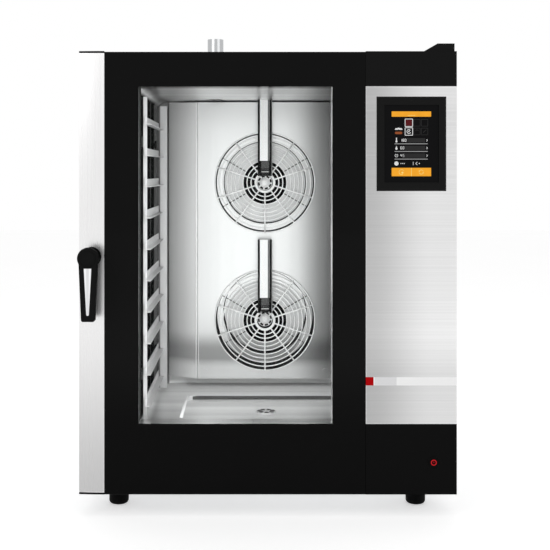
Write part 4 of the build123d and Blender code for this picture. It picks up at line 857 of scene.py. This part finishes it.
def finish_steels():
    dress(brushed_steel("panel steel", even(0.82), ACROSS, 0.32, 0.20, 0.05, "control_panel", panel_painted_shade,
                        Anisotropic=0.4), "control_panel")
    dress(brushed_steel("strip steel", (0.90, 0.895, 0.895), UPRIGHT, 0.28, 0.05, 0.03, "side_strip",
                        strip_painted_shade, Anisotropic=0.3), "side_strip")
    dress(brushed_steel("casing steel", CASING, UPRIGHT, 0.34, 0.10, 0.04), "left_side_panel",
          "right_side_panel", "rear_panel", "base_chassis")
    dress(brushed_steel("lid steel", CASING, BACK_TO_FRONT, 0.34, 0.10, 0.04), "top_cover", "front_frame")
    dress(brushed_steel("door steel", (0.34, 0.34, 0.345), BACK_TO_FRONT, 0.36, 0.08, 0.04), "door_frame")
    dress(brushed_steel("cavity steel", even(0.84), FOLDED, tone_by_place=cavity_painted_light_and_bands, metallic=cavity_metal,
                        Specular_IOR_Level=0.0), "cavity_liner")
    dress(brushed_steel("baffle steel", even(0.72), (300.0, 30.0, 3.0), depth=0.06, tone_by_place=baffle_painted_light,
                        metallic=baffle_metal), "fan_baffle", "baffle_fixings")
    dress(brushed_steel("fitted steel", (0.62, 0.615, 0.62), FOLDED, tone_by_place=rack_tone, metallic=0.3),
          "left_rack", "right_rack", "drain_strainer")
    for node in ("upper_injector_channel", "lower_injector_channel"):
        dress(channel_steel(node), node)
    dress(wheel_steel(), "upper_fan_wheel", "lower_fan_wheel")
    dress(brushed_steel("bright nut", even(0.95), even(200.0), 0.36, 0.04, metallic=0.2), "upper_fan_shaft",
          "lower_fan_shaft")
    dress(brushed_steel("wire steel", even(0.95), even(200.0), depth=0.04, metallic=0.15), "upper_fan_guard",
          "lower_fan_guard")
    dress(brushed_steel("stud steel", even(0.05), even(200.0), 0.5, 0.1, 0.03), "rack_studs")
    dress(brushed_steel("plain steel", (0.55, 0.56, 0.57), even(300.0), 0.35, 0.15, 0.05), "hinge_brackets",
          "hinge_pins", "latch_keeper", "latch_tongue", "handle_spindle", "drain_pipe", "damper_flap",
          "glass_clips")
    dress(brushed_steel("pipe steel", (0.62, 0.63, 0.64), (700.0, 700.0, 3.0), 0.22, 0.06, 0.03),
          "exhaust_pipe")
    dress(brushed_steel("heated tube", (0.34, 0.31, 0.28), even(90.0), 0.45, 0.3, 0.05), "heating_elements")
    dress(brushed_steel("brass", (0.72, 0.53, 0.26), (400.0, 5.0, 400.0), 0.28, 0.08, 0.03), "water_inlet",
          "hinge_bushes")
    dress(brushed_steel("silver inlay", (0.92, 0.92, 0.93), (900.0, 900.0, 3.0), 0.3, 0.06, 0.03,
                        tone_by_place=inlay_painted_shade), "handle_inlay")


def finish_glass_and_mouldings():
    dress(clear_glass(), "outer_glass", "inner_glass")
    dress(gloss("black enamel", even(0.003), 0.06, 0.03, 0.0, 0.06), "glass_mask")
    dress(gloss("black fascia", even(0.0085), 0.07, 0.05, 0.0, 0.06, black_painted_shade), "control_fascia")
    dress(gloss("screen glass", (0.003, 0.003, 0.0035), 0.10, 0.05, 0.005, 0.08), "screen_glass")
    dress(stripe_film(), "stripe_label")
    dress(moulded("black moulding", even(0.0035), 0.38, 0.12, specular=0.12), "screen_bezel",
          "strip_end_caps", "hinge_cover", "cable_gland")
    dress(moulded("handle moulding", even(0.0095), 0.6, 0.12, specular=0.03), "handle_lever")
    dress(moulded("matt black moulding", even(0.0035), 0.6, 0.12, specular=0.04), "handle_rosette",
          "button_bezel")
    dress(moulded("foot rubber", even(0.0025), 0.6, 0.3, specular=0.06), *("foot_" + which for which in FEET))
    dress(moulded("seal rubber", even(0.02), 0.55, 0.3), "door_gasket")
    dress(moulded("red cap", (0.012, 0.001, 0.001), 0.4, 0.05, specular=0.05), "power_button")
    dress(moulded("motor paint", (0.05, 0.055, 0.06), 0.45, 0.3), "fan_motors")
    dress(moulded("mineral wool", (0.55, 0.48, 0.33), 0.9, 1.0, 300.0), "cavity_insulation")
    dress(moulded("circuit board", (0.02, 0.12, 0.05), 0.4, 0.1), "power_board", "control_board")
    # near black for the strainer's slots and for painted shade: shadow rings, struts, nut dashes and channel
    # lips
    moulded("dark slot and painted shade", even(0.012), 0.5, 0.1, specular=0.2)
    moulded("shaded steel", even(0.075), 0.45, 0.1, specular=0.2)
    moulded("deep shade", even(0.03), 0.45, 0.1, specular=0.2)


# ---- screen and button -----------------------------------------------------------------------------
DISPLAY_WIDTH = 0.097
DISPLAY_HEIGHT = 0.1595
PRINT = 0.0002            # thickness of the graphics on the screen
TOP_BAR = 0.013
LOW_BAR = 0.0207
SEAM = 0.0006             # half the gap between the two low bars
ROW_PITCH = 0.0188
ICON_SIDE = 0.0184
ICON_X = (-0.0062, 0.0136, 0.0325)
ICON_Z = (0.0518, 0.0303)
LINE = 0.0016
ROW_SIDES = (-0.0412, 0.0402)
ROWS = (0.0, -ROW_PITCH, -2 * ROW_PITCH)
ROW_TEXTS = ("180", "60", "45")
FIGURE = 0.0062           # height of the rows' figures
FIGURE_PITCH = 0.0054
SEGMENTS = {"0": "abcdef", "1": "bc", "4": "fgbc", "5": "afgcd", "6": "afgedc", "8": "abcdefg"}


def add_print(name, outlines, finish, lift=0.0):
    """Thin raised graphics on the screen's face; a coordinate counts from the display's middle."""
    shift = centre("screen_glass")[[0, 2]]
    prints = [prism(outline + shift, SCREEN_FACE - PRINT - lift, SCREEN_FACE) for outline in outlines]
    add_mesh(name, merged(prints), finish, "door", smooth=False)


def figure_strokes(figure, x, z, h):
    """Seven-segment figure: up to seven straight strokes in a cell of half its height's width."""
    w = h * 0.5
    ends = {
        "a": ((0, h), (w, h)), "b": ((w, h), (w, h / 2)), "c": ((w, h / 2), (w, 0)), "d": ((0, 0), (w, 0)),
        "e": ((0, 0), (0, h / 2)), "f": ((0, h / 2), (0, h)), "g": ((0, h / 2), (w, h / 2)),
    }
    return [bar(*(ends[segment] + np.array((x, z))), h * 0.16) for segment in SEGMENTS[figure]]


def strokes(points, line, closed=False):
    """Run of straight strokes through a list of points."""
    points = [*points, points[0]] if closed else points
    return [bar(a, b, line) for a, b in zip(points[:-1], points[1:])]


def box_strokes(middle, x, z, line):
    """Four strokes round a rectangle of the given half sides."""
    corners = [(-x, -z), (x, -z), (x, z), (-x, z)]
    return strokes([(middle[0] + a, middle[1] + b) for a, b in corners], line, closed=True)


def arc(radius, middle, start, end, line):
    """Curved stroke as a run of short straight ones."""
    return strokes(disc(radius, middle, start, end, 14), line)


def print_bars():
    """Orange bars at the display's head and foot, with pale dots, a dial and two turning arrows."""
    half, top = DISPLAY_WIDTH / 2, DISPLAY_HEIGHT / 2
    corner = 0.0008
    low_bar = (-top, LOW_BAR - top)
    bars = [((-half, half), (top - TOP_BAR, top)), ((-half, -SEAM), low_bar), ((SEAM, half), low_bar)]
    add_print("screen_bars", [rounded(x, z, corner) for x, z in bars], "screen orange")
    middle = LOW_BAR / 2 - top
    marks = [disc(0.0011, (x, top - TOP_BAR + 0.003), count=12) for x in (-0.008, -0.004, 0, 0.004, 0.008)]
    marks += arc(0.0062, (-half / 2, middle), 0.6, 5.2, 0.0011)
    marks += [disc(0.0024, (-half / 2 + 0.0022, middle - 0.0016), count=16)]
    reach = 0.0052
    for turn in (0.3, 0.3 + TURN / 2):
        marks += arc(reach, (half / 2, middle), turn, turn + 2.3, 0.0012)
        tip = (half / 2 + reach * math.cos(turn + 2.5), middle + reach * math.sin(turn + 2.5))
        marks.append(disc(0.0019, tip, turn, turn + TURN * 2 / 3, 3))
    marks.append(bar((0, -top), (0, LOW_BAR - top), 2 * SEAM))
    add_print("screen_bar_marks", marks, "screen pale yellow", PRINT)


def print_icons():
    """Two rows of boxed icons: a red square, a dial, faint boxes, and a loaf with its three crumbs."""
    upper, lower = ICON_Z
    first, second, third = ICON_X
    side, red = ICON_SIDE / 2, ICON_SIDE / 2 * 0.8
    add_print("screen_square_red", [rounded((first - red, first + red), (upper - red, upper + red), 0.0006)],
              "screen dark red")
    boxes = box_strokes((first, upper), side, side, LINE) + box_strokes((first, lower), side, side, LINE)
    boxes += arc(0.0048, (first, lower), 1.2, 5.9, LINE)
    boxes.append(bar((first, lower), (first + 0.0034, lower + 0.004), LINE))
    boxes.append(disc(0.0016, (first, lower), count=12))
    add_print("screen_outlines", boxes, "screen white")
    faint = []
    for x in (second, third):
        for z in ICON_Z:
            faint += box_strokes((x, z), side * 0.86, side * 0.9, LINE * 0.8)
    faint += arc(0.004, (second, lower), 0.4, 2.7, LINE)
    faint.append(bar((third - 0.004, lower - 0.003), (third + 0.004, lower + 0.004), LINE))
    add_print("screen_faint_icons", faint, "screen dim")
    add_print("screen_loaf", [rounded((-0.0405, -0.0225), (lower - 0.0065, lower - 0.0005), 0.0029)],
              "screen brown")
    crumbs = [disc(0.0042, (-0.0365 + 0.0052 * i, lower + 0.0042 + 0.001 * (i % 2)), 0, TURN / 2, 10)
              for i in range(3)]
    add_print("screen_loaf_tops", crumbs, "screen white")


def print_rows():
    """Three lined rows, each with a dim band, an icon, figures and an arrow, over a row of small marks."""
    left, right = ROW_SIDES
    add_print("screen_row_lines", [bar((left, z), (right, z), 0.0017) for z in ROWS], "screen grey")
    middle = 0.0085
    bands = [bar((-0.010 - 0.006 * i, z + middle), (right - 0.006, z + middle), 0.011)
             for i, z in enumerate(ROWS)]
    add_print("screen_row_bands", bands, "screen dim")
    icon, figures = left + 0.0045, left + 0.0145
    first, second, third = ROWS
    foot = third - 0.0108
    marks = []
    for z, text in zip(ROWS, ROW_TEXTS):
        tip = (right - 0.0008, z + middle)
        back = tip[0] - 0.0018
        marks += strokes([(back, tip[1] + 0.0028), tip, (back, tip[1] - 0.0028)], 0.0013)
        for i, figure in enumerate(text):
            marks += figure_strokes(figure, figures + FIGURE_PITCH * i, z + 0.0056, FIGURE)
    marks.append(rounded((icon - 0.0012, icon + 0.0012), (first + 0.006, first + 0.0152), 0.0011))
    marks.append(disc(0.0024, (icon, first + 0.0058), count=20))
    marks.append(disc(0.0027, (icon, second + 0.0068), count=20))
    marks.append(np.array([(icon - 0.0022, second + 0.0082), (icon + 0.0022, second + 0.0082),
                           (icon, second + 0.0142)]))
    marks += arc(0.0036, (icon, third + 0.0088), 1.9, 7.4, 0.0011)
    marks.append(bar((icon, third + 0.0088), (icon, third + 0.0116), 0.001))
    marks.append(disc(0.0052, (icon, foot), count=24))
    marks += [bar((figures + 0.004 * i, foot), (figures + 0.002 + 0.004 * i, foot), 0.0022) for i in range(3)]
    marks.append(bar((0.0045, foot - 0.004), (0.0045, foot + 0.004), 0.0011))
    marks += strokes([(0.0145, foot + 0.0036), (0.0105, foot), (0.0145, foot - 0.0036)], 0.0012)
    marks.append(disc(0.0013, (0.0195, foot), count=12))
    add_print("screen_marks", marks, "screen white")


def make_screen():
    lit("screen orange", (0.94, 0.40, 0.022), 0.95)
    lit("screen pale yellow", (1.0, 0.72, 0.22), 0.95)
    lit("screen white", even(0.82), 0.9)
    lit("screen grey", even(0.42), 0.8)
    lit("screen dim", even(0.018), 1.0)
    lit("screen dark red", (0.10, 0.004, 0.006), 0.9)
    lit("screen brown", (0.30, 0.075, 0.02), 0.9)
    print_bars()
    print_icons()
    print_rows()


def make_button():
    """Lit red ring round the button, and a small red bar on its cap."""
    lit("lit red", (0.62, 0.006, 0.012), 0.9)
    x, _, z = centre("power_button")
    face, thick = low("power_button")[1], 0.0002
    radius = size("power_button")[0] / 2
    ring = flat_ring(radius * 0.99, radius * 0.70, (x, face - thick, z), 0.0003)
    mark = prism(bar((x, z - 0.0005), (x, z + 0.0026), 0.0013), face - thick, face)
    add_mesh("button_ring", merged([ring, mark]), "lit red", "power_button", smooth=False)


# ---- door glass ------------------------------------------------------------------------------------
GLASS = 0.004
GLASS_BEVEL = 0.0008
PANE_GAP = 0.0001         # between the window's pane and its surround
SPACER = 0.003            # width of the window spacer
SPACER_GAP = 0.0001


def make_door_glass():
    """Outer glass in two pieces: its enamelled surround and the clear window, and the spacer behind it."""
    node = "outer_glass"
    (x0, front, z0), (x1, _, z1) = low(node), high(node)
    gloss("enamelled glass", even(0.0050), 0.05, 0.03, 0.0, 0.06, black_painted_shade)
    plate = framed_plate((x0, x1, z0, z1), WINDOW, front, front + GLASS, GLASS_BEVEL)
    surround = add_mesh("glass_surround", plate, "enamelled glass", "door", smooth=False)
    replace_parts(surround, node)
    inner = np.array(WINDOW) + PANE_GAP * np.array([1, -1, 1, -1])
    pane = soft_box((inner[0], front, inner[2]), (inner[1], front + GLASS, inner[3]), 0.0002)
    window = add_mesh("glass_window", pane, "clear glass", "door", smooth=False)
    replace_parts(window, node)
    outer = np.array(WINDOW) + SPACER * np.array([-1, 1, -1, 1])
    reach = high("glass_mask")[1] + SPACER_GAP, low("inner_glass")[1] - SPACER_GAP
    brushed_steel("spacer steel", even(0.86), (400.0, 3.0, 400.0), 0.3, tone_by_place=spacer_tone,
                  metallic=spacer_metal, Specular_IOR_Level=0.0)
    add_mesh("window_spacer", framed_plate(outer, WINDOW, *reach), "spacer steel", "door",
             smooth=False)


# ---- fans and cavity -------------------------------------------------------------------------------
WHEEL_BLADES = 6
GUARD_SPOKES = 10
GUARD_RINGS = 11
GUARD_EYE = 0.030
GUARD_WIRE = 0.0017
GUARD_SPOKE = 0.0023
GUARD_HUB = 0.0262        # innermost, thicker ring
GUARD_HUB_WIRE = 0.0022
STRUT_REACH = (0.068, 0.147)
STRUT_WIDTH = 0.0022
STRUT_THICK = 0.0016
NUT_RADIUS = 0.0150
NUT_HEIGHT = 0.006
NUT_LOBES = 8
NUT_FLUTE = 0.15          # depth of the nut's flutes as a share of its radius
# inner and outer radius of the dashes of painted shadow round a fan's nut
NUT_SHADOW_RING = (0.0160, 0.0215)
NUT_SHADOW_SHARE = 0.66         # of its pitch that each dash of painted shadow takes
WASHER = (0.0232, 0.0120)
MOUTH_LEVELS = {          # heights above a channel's end at which each part of its mouth ends; the parts are painted shade
    "lip": (0.0010, 0.0120, "dark slot and painted shade"),
    "shade": (0.0120, 0.0240, "deep shade"),
    "baffle": (0.0240, 0.0440, "shaded steel"),
}
MOUTH_HALF = 0.0112
MOUTH_HEM = 0.0014
BEAD_CORNER = 0.024       # radius of the recess bead's rear corner
BEAD_WIRE = 0.0045
BEAD_FLAT = 0.27
STRAINER_SLOTS = 7
SLOT_REACH = (0.42, 0.90)             # shares of the strainer's radius
SLOT_SHARE = 0.62
FOOT_NECK = 0.0200
FOOT_STUD = 0.0050
FOOT_SOLE = 0.009         # radius of the rounded sole's edge
FOOT_SHOULDER = 0.043     # height of the puck's shoulder
THREAD_STEPS = 17
THREAD_DEPTH = 0.0005
POLE = 0.0002             # radius of the small flat end at the axis of a turned solid
HEAD_RADIUS = 0.0262      # round boss at the head of the handle's lever
HEAD_EDGE = 0.003
HEAD_DEPTH = 0.012
HEAD_SET_BACK = 0.004     # of the boss behind the lever's face
SHADOW_RINGS = {                 # radius, width at the top, width at the bottom and rise of each painted shadow ring
    "upper": ((0.1494, 0.0040, 0.0050, 0.0), (0.1242, 0.0022, 0.0034, 0.0)),
    "lower": ((0.1505, 0.0014, 0.0245, 0.0), (0.1265, 0.0014, 0.0120, 0.0228)),
}


def outwards(turn):
    """Direction away from a fan's axis at a turn."""
    return np.array([math.cos(turn), 0, math.sin(turn)])


def make_baffle_shadow_rings(which):
    """Painted shadow rings round the baffle's mouth, and the dashed struts behind the guard, painted dark as
    shade.
    """
    middle, face = centre(which + "_fan_guard"), BAFFLE_LOW[1]
    shadow_rings = [crescent_ring(middle + (0, 0, rise), face - 0.0004 - 0.0002 * i, face, *sizes)
             for i, (*sizes, rise) in enumerate(SHADOW_RINGS[which])]
    add_mesh(which + "_baffle_shadow_rings", merged(shadow_rings), "dark slot and painted shade", smooth=False)
    depth = face - 0.0030
    struts = []
    for i in range(WHEEL_BLADES):
        start, end = (middle + reach * outwards(TURN * (i + 0.5) / WHEEL_BLADES) for reach in STRUT_REACH)
        struts.append(prism(bar(start[[0, 2]], end[[0, 2]], STRUT_WIDTH), depth, depth + STRUT_THICK))
    add_mesh(which + "_guard_struts", merged(struts), "dark slot and painted shade", smooth=False)


def make_guard(which):
    """Round-wire guard of one fan: rings, spokes across them, and legs back to the baffle."""
    node = which + "_fan_guard"
    place = centre(node)
    place[1] = low(node)[1] + GUARD_SPOKE
    reach = size(node)[0] / 2 - GUARD_WIRE
    parts = [torus(r, GUARD_WIRE, place) for r in np.linspace(GUARD_EYE, reach, GUARD_RINGS)]
    parts.append(torus(GUARD_HUB, GUARD_HUB_WIRE, place, 64))
    for i in range(GUARD_SPOKES):
        out = outwards(TURN * (0.25 + i / GUARD_SPOKES))
        foot = place + reach * out
        parts.append(tube([place + GUARD_EYE * out, foot], GUARD_SPOKE))
        if i % 2:
            parts.append(tube([foot, (foot[0], high(node)[1], foot[2])], GUARD_WIRE))
    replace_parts(add_mesh(which + "_guard_wires", merged(parts), "wire steel"), node)


def make_nut(which):
    """Fluted domed nut on a fan's shaft, its pale washer and a ring of dark dashes round it that is painted
    shadow.

    The dome's radius is its size times the sine of its rise, with flutes that fade towards its top."""
    (x, _, z), front = centre(which + "_fan_guard"), low(which + "_fan_shaft")[1]
    body = which + "_fan"
    rings, segments = 9, 128
    t = np.linspace(0, TURN, segments, endpoint=False)[None, :]
    rise = np.linspace(0.05, 1, rings)[:, None]
    radius = NUT_RADIUS * np.sin(rise * TURN / 4) * (1 + NUT_FLUTE * rise ** 3 * np.cos(NUT_LOBES * t))
    along = front - NUT_HEIGHT * np.cos(rise * TURN / 4) + 0 * t
    dome = np.stack([x + radius * np.cos(t), along, z + radius * np.sin(t)], axis=-1)
    points = np.concatenate([dome.reshape(-1, 3), dome[-1] + (0, 0.002, 0)])
    nut = points, closed_faces(rings + 1, segments)
    add_mesh(which + "_fan_nut", nut, "bright nut", body)
    # painted shadow round the nut
    shadow_arcs = sectors((x, z), NUT_SHADOW_RING, NUT_LOBES, NUT_SHADOW_SHARE)
    dashes = [prism(outline, front - 0.002, front) for outline in shadow_arcs]
    add_mesh(which + "_fan_nut_shadow", merged(dashes), "dark slot and painted shade", body, smooth=False)
    washer = flat_ring(*WASHER, (x, front - 0.0005, z), 0.0010)
    add_mesh(which + "_fan_washer", washer, "bright nut", body, smooth=False)


def make_channel_mouth(which):
    """Plates of painted shade in an injector channel's open end: a grey baffle, darker below, and a black lip
    under a bright hem.
    """
    node = which + "_injector_channel"
    middle, (_, front, foot) = centre(node)[0], low(node)
    x, depth = (middle - MOUTH_HALF, middle + MOUTH_HALF), front + 0.0030
    name = which + "_channel_"
    for part, (start, end, finish) in MOUTH_LEVELS.items():
        cavity_plate(name + part, x, (foot + start, foot + end), depth, 0.0012, finish)
    hem = foot + MOUTH_LEVELS["lip"][1]
    cavity_plate(name + "hem", x, (hem, hem + MOUTH_HEM), depth - 0.0012, 0.0010, "wire steel")


def make_recess_bead():
    """Rolled side edges of the floor's recess: a flat bead along each side and round its rear corner.

    Its path is straight back and then a quarter circle; its section is an ellipse."""
    x0, x1, y0, y1 = RECESS
    t = np.linspace(0, TURN / 4, 9)
    bend = np.stack([x0 + BEAD_CORNER * (1 - np.cos(t)), y1 - BEAD_CORNER * (1 - np.sin(t))], axis=1)
    left = np.concatenate([[[x0, y0 + 0.004]], bend])
    right = np.stack([x0 + x1 - left[:, 0], left[:, 1]], axis=1)
    for name, side in (("left", left), ("right", right)):
        path = np.column_stack([side, np.full(len(side), LINER_LOW[2] + 0.0115)])
        add_mesh("recess_bead_" + name, tube(path, BEAD_WIRE, 12, BEAD_FLAT), "wire steel")


def make_strainer_slots():
    """Dark petal slots round the drain strainer's dished top."""
    x, y, _ = centre("drain_strainer")
    radius, top = size("drain_strainer")[0] / 2, high("drain_strainer")[2]
    slots = sectors((x, y), radius * np.array(SLOT_REACH), STRAINER_SLOTS, SLOT_SHARE)
    points, faces = merged([prism(outline, top, top + 0.0004) for outline in slots])
    add_mesh("strainer_slots", (points[:, [0, 2, 1]], faces), "dark slot and painted shade", smooth=False)


def make_baffle_fold():
    """Two fine bright folds where the baffle's face turns into its left wing."""
    face, ends = BAFFLE_LOW[1], (BAFFLE_LOW[2] + 0.003, BAFFLE_HIGH[2] - 0.003)
    for name, x, depth in (("outer", FOLD - 0.0045, face + 0.0030), ("inner", FOLD + 0.0030, face)):
        cavity_plate("baffle_fold_" + name, (x, x + 0.0018), ends, depth, 0.0036, "wire steel")


def make_foot(which):
    """Levelling foot: a rubber puck with a rounded sole, its neck and the threaded stud above it.

    The stud's thread is a row of small steps in and out."""
    node = "foot_" + which
    (x, y, _), head = centre(node), high(node)[2]
    radius, top = size(node)[0] / 2, low("base_chassis")[2] - 0.0006
    turns = np.linspace(top + 0.001, head - 0.001, THREAD_STEPS)
    profile = [
        (POLE, 0.0),
        *rounded_end(radius, 0.0, FOOT_SOLE),
        (radius, FOOT_SHOULDER),
        (radius - 0.001, FOOT_SHOULDER + 0.002),
        (FOOT_NECK, FOOT_SHOULDER + 0.003),
        (FOOT_NECK, top),
        (FOOT_STUD, top),
        *((FOOT_STUD - THREAD_DEPTH * (i % 2), z) for i, z in enumerate(turns)),
        (FOOT_STUD - 0.001, head),
        (POLE, head),
    ]
    puck = turned(profile, (x, y, 0.0), 64, upright=True)
    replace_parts(add_mesh(node + "_puck", puck, "foot rubber", node), node)


def make_handle_head():
    """Round boss round the lever's head: a disc whose front edge is a quarter circle."""
    node = "handle_lever"
    x, z = centre(node)[0], high(node)[2] - size(node)[0] / 2
    front = low(node)[1] + HEAD_SET_BACK
    back = front + HEAD_DEPTH
    profile = [(POLE, front), *rounded_end(HEAD_RADIUS, front, HEAD_EDGE), (HEAD_RADIUS, back), (POLE, back)]
    add_mesh("handle_head", turned(profile, (x, 0.0, z), 64), "handle moulding", "handle")


def build_all():
    for make in (brushed_grain_group, painted_edge_highlight_group, handled_gloss_group, moulded_skin_group, set_camera,
                 set_world, set_lamps, make_floor, finish_steels, finish_glass_and_mouldings, make_door_glass,
                 make_screen, make_button, make_handle_head):
        make()
    for which in ("upper", "lower"):
        make_baffle_shadow_rings(which)
        make_guard(which)
        make_nut(which)
        make_channel_mouth(which)
    make_recess_bead()
    make_strainer_slots()
    make_baffle_fold()
    for which in FEET:
        make_foot(which)


build_all()
bpy.context.scene.view_settings.view_transform = "Standard"
